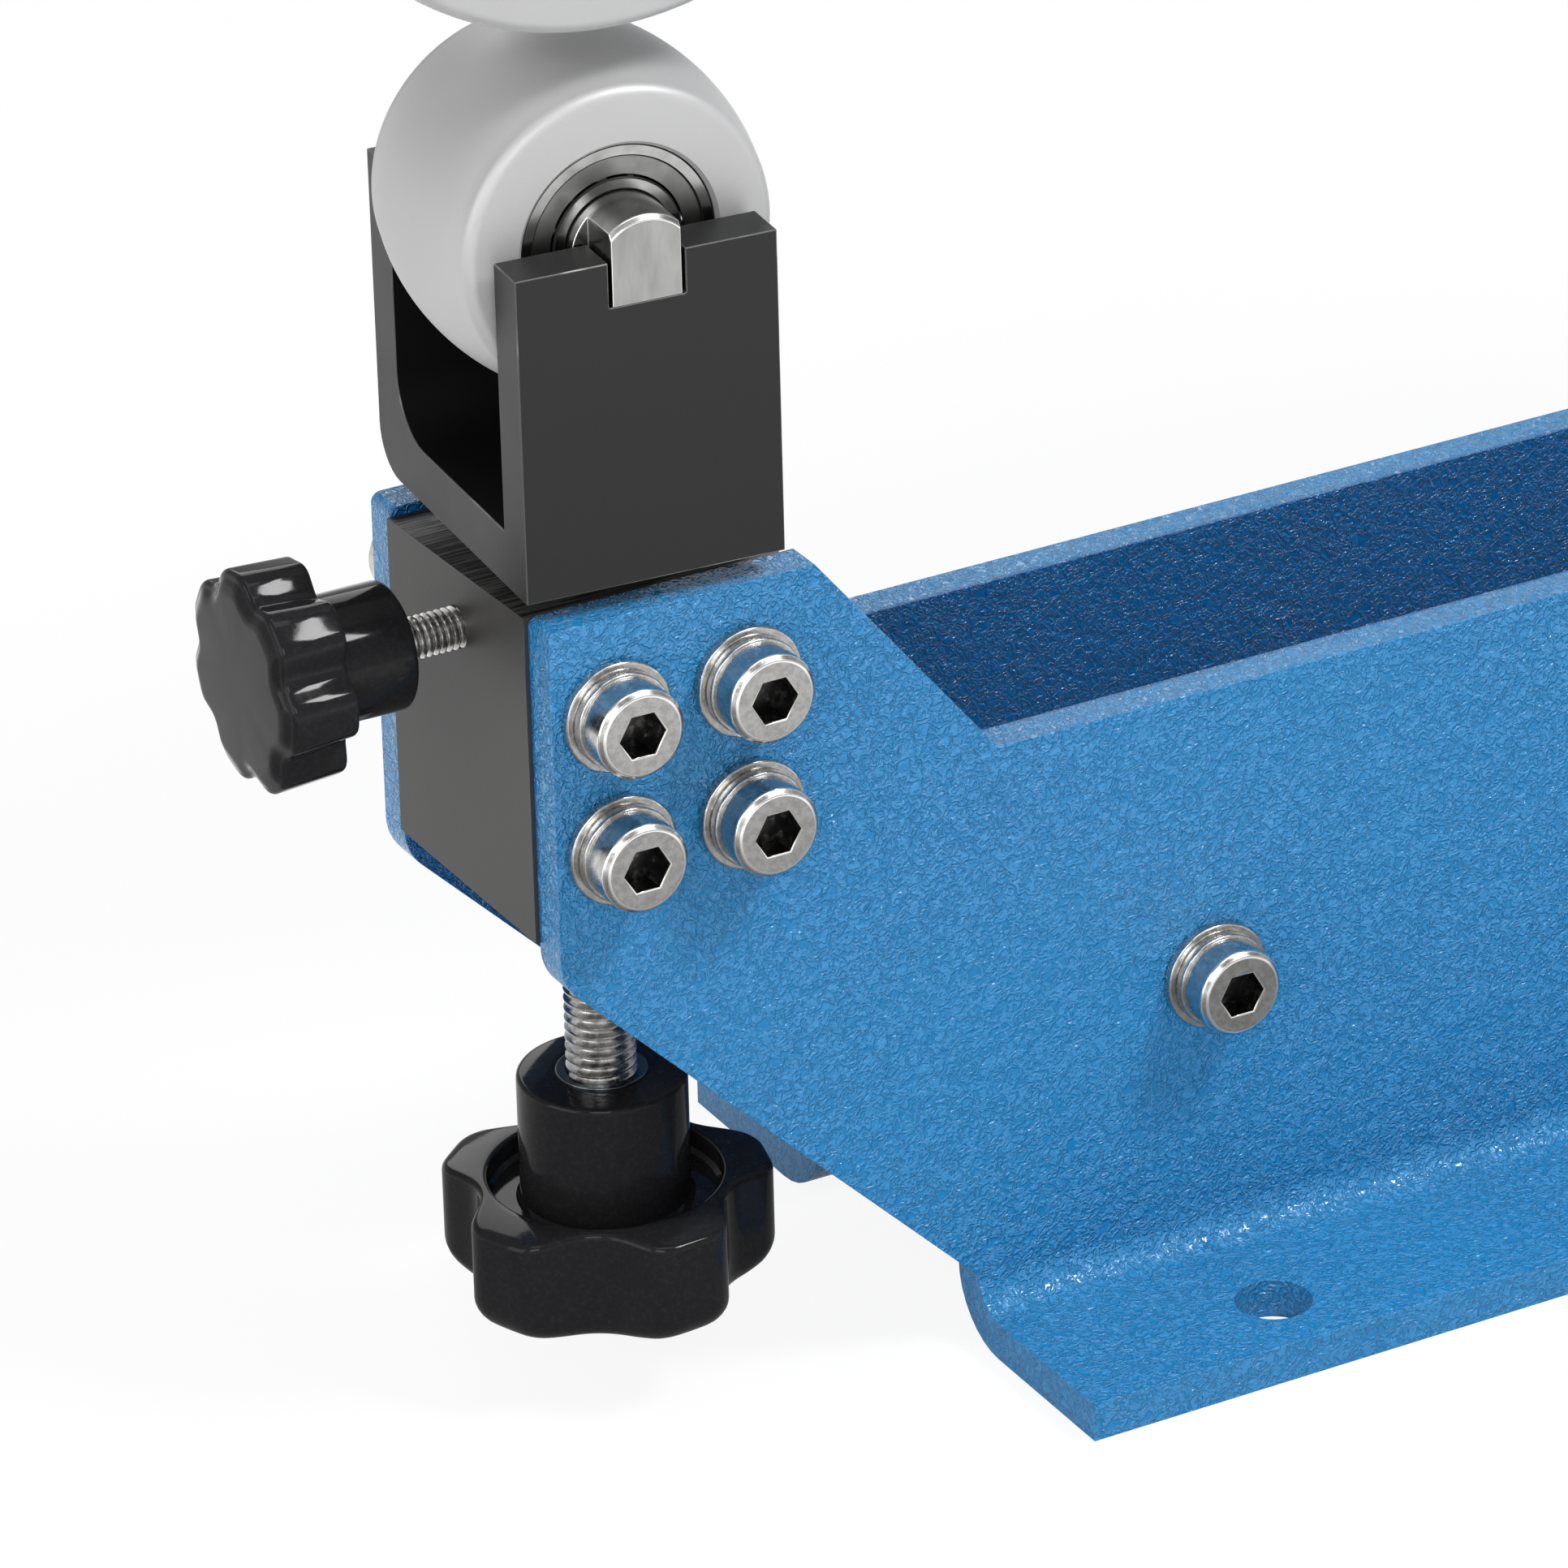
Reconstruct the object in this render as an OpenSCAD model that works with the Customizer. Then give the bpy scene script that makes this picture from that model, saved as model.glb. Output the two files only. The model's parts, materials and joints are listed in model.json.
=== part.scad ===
// Bench-top English wheel: a twin-plate C frame that carries a flat upper wheel over a
// crowned anvil wheel, with a screw lift under the anvil yoke and a clamp screw in front.
// Millimetres. X runs from the wheels to the column, Z is up, and the origin is the centre
// of the four bench-bolt holes, on the underside of the feet.

/* [Frame plates] */
// Thickness of each side plate
plate_t = 6; // [4:0.5:8]
// Gap between the two side plates, filled by the guide block and the tie bars
plate_gap = 40; // [36:1:50]
// Height of the lower arm's top edge over the bench
arm_h = 93; // [86:1:104]
// Distance from the wheels' axis to the column
throat_depth = 305; // [200:5:400]
// Depth of the column, front to back
column_w = 80; // [60:1:110]
// Height of the upper arm, from its lower edge to its top edge
upper_arm_h = 80; // [72:1:100]
// How far the upper arm's lower edge lies under the upper axle
upper_edge_drop = 24; // [20:1:30]
// How far the upper arm reaches in front of the upper axle
head_reach = 28; // [24:1:36]
// Chamfer at the top front corner of the upper arm
head_chamfer = 32; // [20:1:40]
// Chamfer at the lower front corner of the upper arm
head_low_chamfer = 8; // [4:1:12]
// Chamfer at the top rear corner of the column
rear_chamfer = 40; // [20:1:50]
// Radius of the throat's two rear corners
throat_r = 18; // [8:1:30]
// How far under the block the plates' front edge would meet the 45 degree lower edge
front_corner_drop = 4; // [0:0.5:5]
// Radius of that corner
front_corner_r = 8; // [3:1:14]
// Length of the plates' top edge beside the guide block
nose_top_l = 41; // [36:1:50]
// Run of the slope behind the guide block, down to the lower arm
nose_slope_run = 28; // [20:1:50]
// Setback of the plates' front edge behind the block's front face
plate_setback = 0.6; // [0.2:0.1:3]
// How far the plates' top edge stands over the guide block
plate_proud = 1.3; // [0.6:0.1:3]
// Radius of the plates' small top front corner
plate_nick_r = 1.5; // [0.5:0.5:4]

/* [Feet] */
// Overall width over the two feet
foot_w = 114.6; // [100:0.2:140]
// Inside radius of the bend between plate and foot
bend_r = 5; // [3:0.5:7]
// Radius of the bench-bolt holes
foot_hole_r = 5.5; // [4:0.5:7]
// Distance from the feet's front end to the front bench-bolt holes
foot_hole_in = 36.4; // [20:0.2:60]
// Distance from the feet's rear end to the rear bench-bolt holes
foot_hole_rear_in = 49.5; // [20:0.1:60]
// Distance from the feet's outer edges to the holes
foot_hole_edge = 11.75; // [9:0.25:15]

/* [Guide block] */
// Height of the block's top face over the bench
block_top_h = 126.5; // [122:0.5:135]
// Height of the block
block_h = 47.5; // [44:0.5:50]
// Length of the block along the frame
block_l = 39; // [37:0.5:46]
// Rise of the sawn top face across the block
block_rise = 1.2; // [0.2:0.1:2]
// Distance from the block's front face to the wheels' axis
axis_in = 19.5; // [18.5:0.5:22]
// Depth of the stem's bore from the top of the block
stem_bore_deep = 32; // [28:0.5:35]

/* [Block and tie bolts] */
// Thread size of the frame bolts
bolt_d = 8; // [6:1:10]
// Radius of the bolts' cylindrical heads
bolt_head_r = 6.5; // [6.5:0.5:7]
// Height of the bolts' heads
bolt_head_h = 5; // [5:0.5:8]
// Width across the flats of the hexagon sockets
socket_af = 6; // [4:0.5:7]
// Depth of the hexagon sockets
socket_deep = 3.8; // [3:0.1:4.5]
// Length of the bolts' threaded shanks
bolt_l = 20; // [18:0.5:21]
// Clearance hole for the bolts in the side plates
bolt_clear_d = 9; // [9:0.5:11]
// Outer radius of the flat washers
washer_r = 8; // [7.5:0.5:9]
// Thickness of the flat washers
washer_t = 1.6; // [1:0.1:2]
// Outer radius of the spring washers
spring_washer_r = 7; // [6.6:0.1:7.4]
// Thickness of the spring washers
spring_washer_t = 1.6; // [1:0.1:2.2]
// Distance from the block's front face to the bolt pattern's centre
bolt_grid_in = 20; // [18.5:0.5:21]
// Spacing of the four block bolts, along and up
bolt_grid = 20; // [19:0.5:22]
// Depth of the block's upper bolts under its top face
bolt_top_drop = 12.8; // [10:0.2:14]
// Radius of the tie bars between the plates
tie_r = 9; // [7:0.5:11]
// Distance from the block's front face to the front tie bars
tie_front_in = 103; // [95:1:130]
// Height of the lower tie bars over the bench
tie_low_h = 48.8; // [40:0.2:60]
// Height of the middle tie bar in the column
tie_mid_h = 165; // [140:1:190]

/* [Yoke] */
// Length of the yoke along the wheel's plane
yoke_l = 37.5; // [32:0.5:44]
// Width of the yoke over its two cheeks
yoke_w = 50.5; // [46:0.5:56]
// Height of the yoke
yoke_h = 46.6; // [45:0.2:50]
// Thickness of the cheeks
cheek_t = 7.1; // [5:0.1:8]
// Thickness of the base
yoke_base_t = 8.1; // [7:0.1:10]
// Outer radius of the bend at the base's far corner
yoke_outer_r = 6.5; // [4:0.5:8]
// Inner radius of the bend at the base's far corner
yoke_inner_r = 8.5; // [4:0.5:9]
// Width of the axle slots
slot_w = 11; // [10.4:0.1:12]
// Depth of the axle slots under the cheeks' top edges
slot_deep = 6.4; // [5:0.1:8]
// Turn of the yoke about the lift axis, as photographed
yoke_turn = 4.5; // [0:0.1:10]
// Gap between the plates' top edges and the yoke, as photographed
rest_gap = 3.6; // [3.6:0.1:6]
// Diameter of the stem under the yoke
stem_d = 18; // [16:0.5:18.5]
// Length of the stem under the yoke
stem_l = 27.3; // [25:0.1:29]

/* [Anvil wheel] */
// Radius of the anvil wheel at its crown
anvil_r = 24.5; // [23:0.5:28]
// Gap between the anvil wheel and each cheek of the yoke
anvil_side_gap = 1.55; // [1:0.05:3]
// Radius of the crown across the tread
crown_r = 50; // [40:1:200]
// Radius of the rounded shoulders
anvil_shoulder_r = 3; // [1:0.5:4]
// Diameter of the axle
axle_d = 15; // [12:0.5:16]
// Width of the axle's milled ends
axle_end_w = 10; // [8:0.1:10]
// Height of the axle's axis over the flat under its ends
axle_seat = 4.6; // [4:0.1:5]
// Bevel round the axle's end faces
axle_bevel = 0.6; // [0.2:0.1:1.5]
// Outer diameter of the anvil's bearings
anvil_bearing_d = 28; // [26:0.5:32]
// Width of the anvil's bearings
anvil_bearing_w = 7; // [6:0.5:9]
// How far the bearings lie inside the anvil's end faces
anvil_bearing_in = 0.7; // [0.3:0.1:1.5]

/* [Upper wheel] */
// Radius of the upper wheel
upper_r = 50; // [45:1:60]
// Gap between the upper wheel and each side plate
upper_side_gap = 2; // [1.5:0.1:4]
// Radius of the upper wheel's edges
upper_edge_r = 1.8; // [0.5:0.1:3]
// Gap between the two wheels, as photographed
nip = 6.4; // [6.2:0.1:9]
// Outer diameter of the upper wheel's bearings
upper_bearing_d = 32; // [30:0.5:36]
// Width of the upper wheel's bearings
upper_bearing_w = 9; // [7:0.5:10]
// How far the bearings lie inside the upper wheel's end faces
upper_bearing_in = 1; // [0.4:0.1:2]
// Depth of the turned dish in each side of the upper wheel
dish_deep = 2.5; // [1:0.5:4]
// Inner radius of the dish
dish_inner_r = 24; // [20:0.5:28]
// Outer radius of the dish
dish_outer_r = 41; // [35:0.5:43]
// Radius of the end washers on the upper axle
end_washer_r = 13; // [11:0.5:15]
// Thickness of the end washers
end_washer_t = 2; // [1.5:0.1:3]
// Wall of the spacer tubes on both axles
spacer_wall = 2.2; // [1.5:0.1:2.6]

/* [Lift screw and knob] */
// Diameter of the lift screw
lift_d = 10; // [8:0.5:11]
// Thread pitch of the lift screw
lift_pitch = 1.5; // [1:0.25:2]
// Free length of the lift screw between block and knob
lift_free_l = 34; // [30:0.5:38]
// Diameter of the thrust ball on the lift screw's tip
ball_d = 8; // [6:0.5:9]
// Radius of the lift knob over its lobes
lift_knob_r = 23.5; // [22:0.5:27]
// Height of the lift knob's star
lift_star_h = 17; // [12:0.5:18]
// Radius of the lift knob's hub
lift_hub_r = 12; // [11:0.5:14]
// Height of the lift knob's hub over the star
lift_hub_h = 16; // [12:0.5:18]
// Outer radius of the groove round the hub
lift_groove_r = 16.5; // [15:0.5:18]
// Depth of the groove round the hub
lift_groove_deep = 3.5; // [2:0.5:6]
// Radius of the steel insert in the lift knob
lift_insert_r = 6.5; // [6.5:0.5:8]

/* [Clamp screw and knob] */
// Diameter of the clamp screw
clamp_d = 6; // [5:0.5:8]
// Thread pitch of the clamp screw
clamp_pitch = 1; // [0.7:0.05:1.25]
// Depth of the clamp screw's axis under the block's top face
clamp_drop = 8.2; // [7:0.1:10]
// Free length of the clamp screw between block and knob
clamp_free_l = 10; // [6:0.5:14]
// Length of the brass pad in front of the clamp screw
pad_l = 3; // [2:0.5:4]
// Radius of the clamp knob over its lobes
clamp_knob_r = 15.5; // [13:0.5:18]
// Thickness of the clamp knob's star
clamp_star_t = 11; // [7:0.5:12]
// Radius of the clamp knob's hub
clamp_hub_r = 9; // [7:0.5:10]
// Length of the clamp knob's hub
clamp_hub_l = 12; // [8:0.5:15]
// Radius of the steel insert in the clamp knob
clamp_insert_r = 4.5; // [4.5:0.5:6]

/* [Hidden] */

// Faces on round parts, and steps in each drawn arc
$fn = 64;
arc_steps = 8;
// Overrun of every cut
over = 1;
// Clearance of fixed fits, of threads, and of running fits, on the radius
snug = 0.02;
thread_clear = 0.05;
running = 0.05;
// Clearance that is left between round faces which only meet when clamped
touch_gap = 0.3;

// Heights over the bench
block_bottom_h = block_top_h - block_h;
plate_top_h = block_top_h + plate_proud;
front_corner_h = block_bottom_h - front_corner_drop;
yoke_h0 = plate_top_h + rest_gap;
axle_h = yoke_h0 + yoke_h - slot_deep + axle_seat;
upper_axle_h = axle_h + anvil_r + nip + upper_r;
upper_low_h = upper_axle_h - upper_edge_drop;
upper_top_h = upper_low_h + upper_arm_h;
tie_high_h = upper_low_h + upper_arm_h / 2;
clamp_h = block_top_h - clamp_drop;
lift_hub_top_h = block_bottom_h - lift_free_l;
lift_star_top_h = lift_hub_top_h - lift_hub_h;
lift_bottom_h = lift_star_top_h - lift_star_h;

// Places along X, measured from the block's front face
plate_in = plate_setback;
foot_front_in = plate_in + front_corner_h - plate_t - bend_r;
foot_hole_front_in = foot_front_in + foot_hole_in;
column_in = axis_in + throat_depth;
rear_in = column_in + column_w;
head_front_in = axis_in - head_reach;
tie_rear_in = column_in + column_w / 2;
foot_hole_dx = rear_in - foot_hole_rear_in - foot_hole_front_in;

// The block's front face in the part's own frame
front_x = -(foot_hole_front_in + foot_hole_dx / 2);
axis_x = front_x + axis_in;

// Places across the frame
plate_y = plate_gap / 2 + plate_t;
foot_hole_y = foot_w / 2 - foot_hole_edge;
anvil_w = yoke_w - 2 * (cheek_t + anvil_side_gap);
upper_w = plate_gap - 2 * upper_side_gap;

block_bolt_places = [
    for (i = [-1, 1]) for (k = [0, 1])
        [bolt_grid_in + i * bolt_grid / 2, block_top_h - bolt_top_drop - k * bolt_grid]
];
tie_places = [
    [tie_front_in, tie_low_h],
    [tie_rear_in, tie_low_h],
    [tie_rear_in, tie_mid_h],
    [tie_rear_in, tie_high_h],
    [tie_front_in, tie_high_h]
];

// Details of the bolts
bolt_head_bevel = 0.7;
bolt_tip_bevel = 0.8;
washer_hole_clear = 0.2;
washer_hole_r = bolt_d / 2 + washer_hole_clear;
tapped_extra = 0.5;
bolt_stack = washer_t + spring_washer_t;
spring_split = 1.2;

// How far the thrust ball's centre lies under the stem
ball_show = 1;

// Details of the yoke screw
yoke_screw_d = 8;
yoke_screw_head_r = 8;
yoke_screw_head_h = 4.4;
yoke_screw_l = 22;
yoke_screw_socket_af = 5;
yoke_screw_socket_deep = 2.6;

// Shares of a bearing's section, from bore to outside
ring_share = 0.28;
ball_share = 0.29;
shield_gap_share = 0.05;
cage_share = 0.17;
bearing_ball_clear = 0.1;
shield_t = 0.35;
shield_in = 0.3;
anvil_ball_count = 11;
upper_ball_count = 9;

// Shares of a knob's radius
lift_valley_share = 0.74;
lift_lobe_corner_share = 0.22;
lift_valley_r_share = 0.36;
clamp_valley_share = 0.8;
clamp_lobe_corner_share = 0.17;
clamp_valley_r_share = 0.12;
lift_lobes = 5;
clamp_lobes = 7;
lift_lobe_half = 13;
clamp_lobe_half = 11;
lift_knob_turn = -14;
clamp_knob_turn = 7.7;
insert_proud = 0.4;
thread_depth_share = 0.61;
screw_tip_bevel = 1;

// Points of an arc about c, from angle a0 to angle a1
function arc(c, r, a0, a1, n = arc_steps) =
    [for (i = [0:n]) let (a = a0 + (a1 - a0) * i / n) c + r * [cos(a), sin(a)]];

// The points that round the corner p between a and b with radius r
function corner(a, p, b, r) =
    let (
        u = (a - p) / norm(a - p),
        v = (b - p) / norm(b - p),
        half = acos(max(-1, min(1, u * v))) / 2,
        centre = p + (u + v) / norm(u + v) * r / sin(half),
        t0 = p + u * r / tan(half) - centre,
        t1 = p + v * r / tan(half) - centre,
        a0 = atan2(t0[1], t0[0]),
        turn = atan2(t0[0] * t1[1] - t0[1] * t1[0], t0 * t1)
    )
    arc(centre, r, a0, a0 + turn);

// An outline of [x, y, radius] points with its corners rounded
function rounded(points) =
    [
        for (i = [0:len(points) - 1])
            let (
                n = len(points),
                a = points[(i + n - 1) % n],
                p = points[i],
                b = points[(i + 1) % n]
            )
            each p[2] > 0
                ? corner([a[0], a[1]], [p[0], p[1]], [b[0], b[1]], p[2])
                : [[p[0], p[1]]]
    ];

// Draws in X and Z, and extrudes along -Y from y = 0
module extrude_across(width) {
    rotate([90, 0, 0])
        linear_extrude(height = width)
            children();
}

// Draws in Y and Z, and extrudes along X from x = 0
module extrude_along(length) {
    rotate([90, 0, 90])
        linear_extrude(height = length)
            children();
}

// Children with their own Z along -Y, standing on y = -from
module facing_near(from) {
    translate([0, -from, 0])
        rotate([90, 0, 0])
            children();
}

// Near children as they are for side -1, or mirrored to the far side for side 1
module on_side(side) {
    mirror([0, side > 0 ? 1 : 0, 0])
        children();
}

// Children at each [x, z] place of a list, measured from the block's front face
module at_places(places) {
    for (p = places)
        translate([front_x + p[0], 0, p[1]])
            children();
}

// Frame plates with bent feet

module plate_outline() {
    polygon(rounded([
        [plate_in, plate_top_h, plate_nick_r],
        [nose_top_l, plate_top_h, 0],
        [nose_top_l + nose_slope_run, arm_h, 0],
        [column_in, arm_h, throat_r],
        [column_in, upper_low_h, throat_r],
        [head_front_in + head_low_chamfer, upper_low_h, 0],
        [head_front_in, upper_low_h + head_low_chamfer, 0],
        [head_front_in, upper_top_h - head_chamfer, 0],
        [head_front_in + head_chamfer, upper_top_h, 0],
        [rear_in - rear_chamfer, upper_top_h, 0],
        [rear_in, upper_top_h - rear_chamfer, 0],
        [rear_in, 0, 0],
        [foot_front_in, 0, 0],
        [foot_front_in, plate_t + bend_r, 0],
        [plate_in, front_corner_h, front_corner_r]
    ]));
}

module plate_section() {
    polygon(rounded([
        [-plate_gap / 2, upper_top_h + over, 0],
        [-plate_gap / 2, 0, bend_r + plate_t],
        [-foot_w / 2, 0, 0],
        [-foot_w / 2, plate_t, 0],
        [-plate_y, plate_t, bend_r],
        [-plate_y, upper_top_h + over, 0]
    ]));
}

module side_plate(side) {
    on_side(side)
        difference() {
            intersection() {
                translate([front_x, 0, 0])
                    extrude_across(foot_w / 2 + over)
                        plate_outline();
                translate([front_x + head_front_in - over, 0, 0])
                    extrude_along(rear_in - head_front_in + 2 * over)
                        plate_section();
            }
            at_places(concat(block_bolt_places, tie_places))
                facing_near(plate_gap / 2 - over)
                    cylinder(d = bolt_clear_d, h = plate_t + 2 * over);
            translate([axis_x, 0, upper_axle_h])
                facing_near(plate_gap / 2 - over)
                    cylinder(r = axle_d / 2 + snug, h = plate_t + 2 * over);
            for (i = [-1, 1])
                translate([i * foot_hole_dx / 2, -foot_hole_y, -over])
                    cylinder(r = foot_hole_r, h = plate_t + 2 * over);
        }
}

module near_side_plate() {
    color("steelblue") side_plate(-1);
}

module far_side_plate() {
    color("steelblue") side_plate(1);
}

// Guide block, with the stem's bore, the lift thread, the clamp thread and eight tapped holes

module guide_block() {
    tapped_l = bolt_l - plate_t - bolt_stack + tapped_extra;
    color("dimgray")
        difference() {
            translate([front_x, 0, 0])
                extrude_along(block_l)
                    polygon([
                        [-plate_gap / 2, block_bottom_h],
                        [plate_gap / 2, block_bottom_h],
                        [plate_gap / 2, block_top_h],
                        [-plate_gap / 2, block_top_h + block_rise]
                    ]);
            translate([axis_x, 0, block_top_h - stem_bore_deep])
                cylinder(r = stem_d / 2 + running, h = stem_bore_deep + block_rise + over);
            translate([axis_x, 0, block_bottom_h - over])
                cylinder(r = lift_d / 2 + thread_clear, h = block_h);
            translate([front_x - over, 0, clamp_h])
                rotate([0, 90, 0])
                    cylinder(r = clamp_d / 2 + thread_clear, h = axis_in + over);
            for (side = [-1, 1])
                on_side(side)
                    at_places(block_bolt_places)
                        facing_near(plate_gap / 2 - tapped_l)
                            cylinder(r = bolt_d / 2 + snug, h = tapped_l + over);
        }
}

// Tie bars, tapped at both ends

module tie_bars() {
    tapped_l = bolt_l - plate_t - bolt_stack + tapped_extra;
    color("silver")
        at_places(tie_places)
            difference() {
                facing_near(-plate_gap / 2)
                    cylinder(r = tie_r, h = plate_gap);
                for (side = [-1, 1])
                    on_side(side)
                        facing_near(plate_gap / 2 - tapped_l)
                            cylinder(r = bolt_d / 2 + snug, h = tapped_l + over);
            }
}

// Socket head bolt, with its shank along -Z and its head over z = 0

module socket_bolt(d, length, head_r, head_h, af, deep) {
    difference() {
        union() {
            rotate_extrude()
                polygon([
                    [0, 0],
                    [head_r, 0],
                    [head_r, head_h - bolt_head_bevel],
                    [head_r - bolt_head_bevel, head_h],
                    [0, head_h]
                ]);
            rotate_extrude()
                polygon([
                    [0, 0],
                    [d / 2, 0],
                    [d / 2, bolt_tip_bevel - length],
                    [d / 2 - bolt_tip_bevel, -length],
                    [0, -length]
                ]);
        }
        translate([0, 0, head_h - deep])
            cylinder(r = af / sqrt(3), h = deep + over, $fn = 6);
    }
}

module frame_bolts(places, side) {
    color("gainsboro")
        on_side(side)
            at_places(places)
                facing_near(plate_y + bolt_stack)
                    socket_bolt(bolt_d, bolt_l, bolt_head_r, bolt_head_h, socket_af, socket_deep);
}

module block_bolts_near() {
    frame_bolts(block_bolt_places, -1);
}

module block_bolts_far() {
    frame_bolts(block_bolt_places, 1);
}

module tie_bolts_near() {
    frame_bolts(tie_places, -1);
}

module tie_bolts_far() {
    frame_bolts(tie_places, 1);
}

// Washers under every frame bolt

module ring(outer_r, inner_r, height) {
    difference() {
        cylinder(r = outer_r, h = height);
        translate([0, 0, -over])
            cylinder(r = inner_r, h = height + 2 * over);
    }
}

module flat_washers(side) {
    color("lightgray")
        on_side(side)
            at_places(concat(block_bolt_places, tie_places))
                facing_near(plate_y)
                    ring(washer_r, washer_hole_r, washer_t);
}

module spring_washers(side) {
    color("darkgray")
        on_side(side)
            at_places(concat(block_bolt_places, tie_places))
                facing_near(plate_y + washer_t)
                    difference() {
                        ring(spring_washer_r, washer_hole_r, spring_washer_t);
                        translate([0, -spring_split / 2, -over])
                            cube([spring_washer_r + over, spring_split, spring_washer_t + 2 * over]);
                    }
}

module flat_washers_near() {
    flat_washers(-1);
}

module flat_washers_far() {
    flat_washers(1);
}

module spring_washers_near() {
    spring_washers(-1);
}

module spring_washers_far() {
    spring_washers(1);
}

// Children in the yoke's own frame: origin on the lift axis at the yoke's underside
module in_yoke() {
    translate([axis_x, 0, yoke_h0])
        rotate([0, 0, -yoke_turn])
            children();
}

// Children along the anvil's axle, whose own Z points to the near side
module on_axle() {
    in_yoke()
        translate([0, 0, axle_h - yoke_h0])
            rotate([90, 0, 0])
                children();
}

// Yoke, stem and the screw that joins them

module yoke() {
    inner_y = yoke_w / 2 - cheek_t;
    color("#303030")
        in_yoke()
            difference() {
                translate([-yoke_l / 2, 0, 0])
                    extrude_along(yoke_l)
                        polygon(rounded([
                            [-yoke_w / 2, 0, 0],
                            [yoke_w / 2, 0, yoke_outer_r],
                            [yoke_w / 2, yoke_h, 0],
                            [inner_y, yoke_h, 0],
                            [inner_y, yoke_base_t, yoke_inner_r],
                            [-inner_y, yoke_base_t, 0],
                            [-inner_y, yoke_h, 0],
                            [-yoke_w / 2, yoke_h, 0]
                        ]));
                translate([-slot_w / 2, -yoke_w / 2 - over, yoke_h - slot_deep])
                    cube([slot_w, yoke_w + 2 * over, slot_deep + over]);
                translate([0, 0, -over])
                    cylinder(r = yoke_screw_d / 2 + snug, h = yoke_base_t + 2 * over);
                translate([0, 0, yoke_base_t - yoke_screw_head_h])
                    cylinder(
                        r1 = yoke_screw_d / 2 + snug,
                        r2 = yoke_screw_head_r + snug,
                        h = yoke_screw_head_h + snug
                    );
            }
}

module guide_stem() {
    screw_deep = yoke_screw_l - yoke_base_t + tapped_extra;
    cup_deep = ball_d / 2 - ball_show;
    color("silver")
        translate([axis_x, 0, yoke_h0 - stem_l])
            difference() {
                cylinder(d = stem_d, h = stem_l);
                translate([0, 0, stem_l - screw_deep])
                    cylinder(r = yoke_screw_d / 2 + snug, h = screw_deep + over);
                translate([0, 0, -over])
                    cylinder(r = ball_d / 2 + bearing_ball_clear, h = cup_deep + over);
            }
}

module yoke_screw() {
    color("gray")
        in_yoke()
            difference() {
                union() {
                    translate([0, 0, yoke_base_t - yoke_screw_l])
                        cylinder(d = yoke_screw_d, h = yoke_screw_l - yoke_screw_head_h);
                    translate([0, 0, yoke_base_t - yoke_screw_head_h])
                        cylinder(r1 = yoke_screw_d / 2, r2 = yoke_screw_head_r, h = yoke_screw_head_h);
                }
                translate([0, 0, yoke_base_t - yoke_screw_socket_deep])
                    cylinder(
                        r = yoke_screw_socket_af / sqrt(3),
                        h = yoke_screw_socket_deep + over,
                        $fn = 6
                    );
            }
}

// Deep-groove ball bearings, each drawn about z = 0 with the axis along Z

function section_of(bore, outside) = (outside - bore) / 2;
function ball_r_of(bore, outside) = ball_share * section_of(bore, outside);
function pitch_r_of(bore, outside) = (outside + bore) / 4;
function outer_land_of(bore, outside) = outside / 2 - ring_share * section_of(bore, outside);
function inner_land_of(bore, outside) = bore / 2 + ring_share * section_of(bore, outside);

module groove(bore, outside) {
    rotate_extrude()
        translate([pitch_r_of(bore, outside), 0])
            circle(r = ball_r_of(bore, outside) + bearing_ball_clear, $fn = 32);
}

module bearing_outer(bore, outside, width) {
    difference() {
        translate([0, 0, -width / 2])
            ring(outside / 2, outer_land_of(bore, outside), width);
        groove(bore, outside);
    }
}

module bearing_inner(bore, outside, width) {
    difference() {
        translate([0, 0, -width / 2])
            ring(inner_land_of(bore, outside), bore / 2 + snug, width);
        groove(bore, outside);
    }
}

module bearing_shields(bore, outside, width) {
    gap = shield_gap_share * section_of(bore, outside);
    for (side = [0, 1])
        mirror([0, 0, side])
            translate([0, 0, width / 2 - shield_in - shield_t])
                ring(outer_land_of(bore, outside) - snug, inner_land_of(bore, outside) + gap, shield_t);
}

module bearing_balls(bore, outside, count) {
    for (i = [0:count - 1])
        rotate([0, 0, i * 360 / count])
            translate([pitch_r_of(bore, outside), 0, 0])
                sphere(r = ball_r_of(bore, outside), $fn = 32);
}

module bearing_cage(bore, outside, count) {
    thick = cage_share * section_of(bore, outside);
    half_w = ball_r_of(bore, outside) + shield_t;
    difference() {
        translate([0, 0, -half_w])
            ring(pitch_r_of(bore, outside) + thick / 2, pitch_r_of(bore, outside) - thick / 2, 2 * half_w);
        for (i = [0:count - 1])
            rotate([0, 0, i * 360 / count])
                translate([pitch_r_of(bore, outside) - thick, 0, 0])
                    rotate([0, 90, 0])
                        cylinder(r = ball_r_of(bore, outside) + snug, h = 2 * thick);
    }
}

// Children at the middle of both bearings of a wheel of the given width
module both_bearings(wheel_w, bearing_w, inset) {
    for (side = [-1, 1])
        translate([0, 0, side * (wheel_w / 2 - inset - bearing_w / 2)])
            children();
}

module at_anvil_bearings() {
    on_axle()
        both_bearings(anvil_w, anvil_bearing_w, anvil_bearing_in)
            children();
}

// Anvil wheel, axle and bearings

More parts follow.
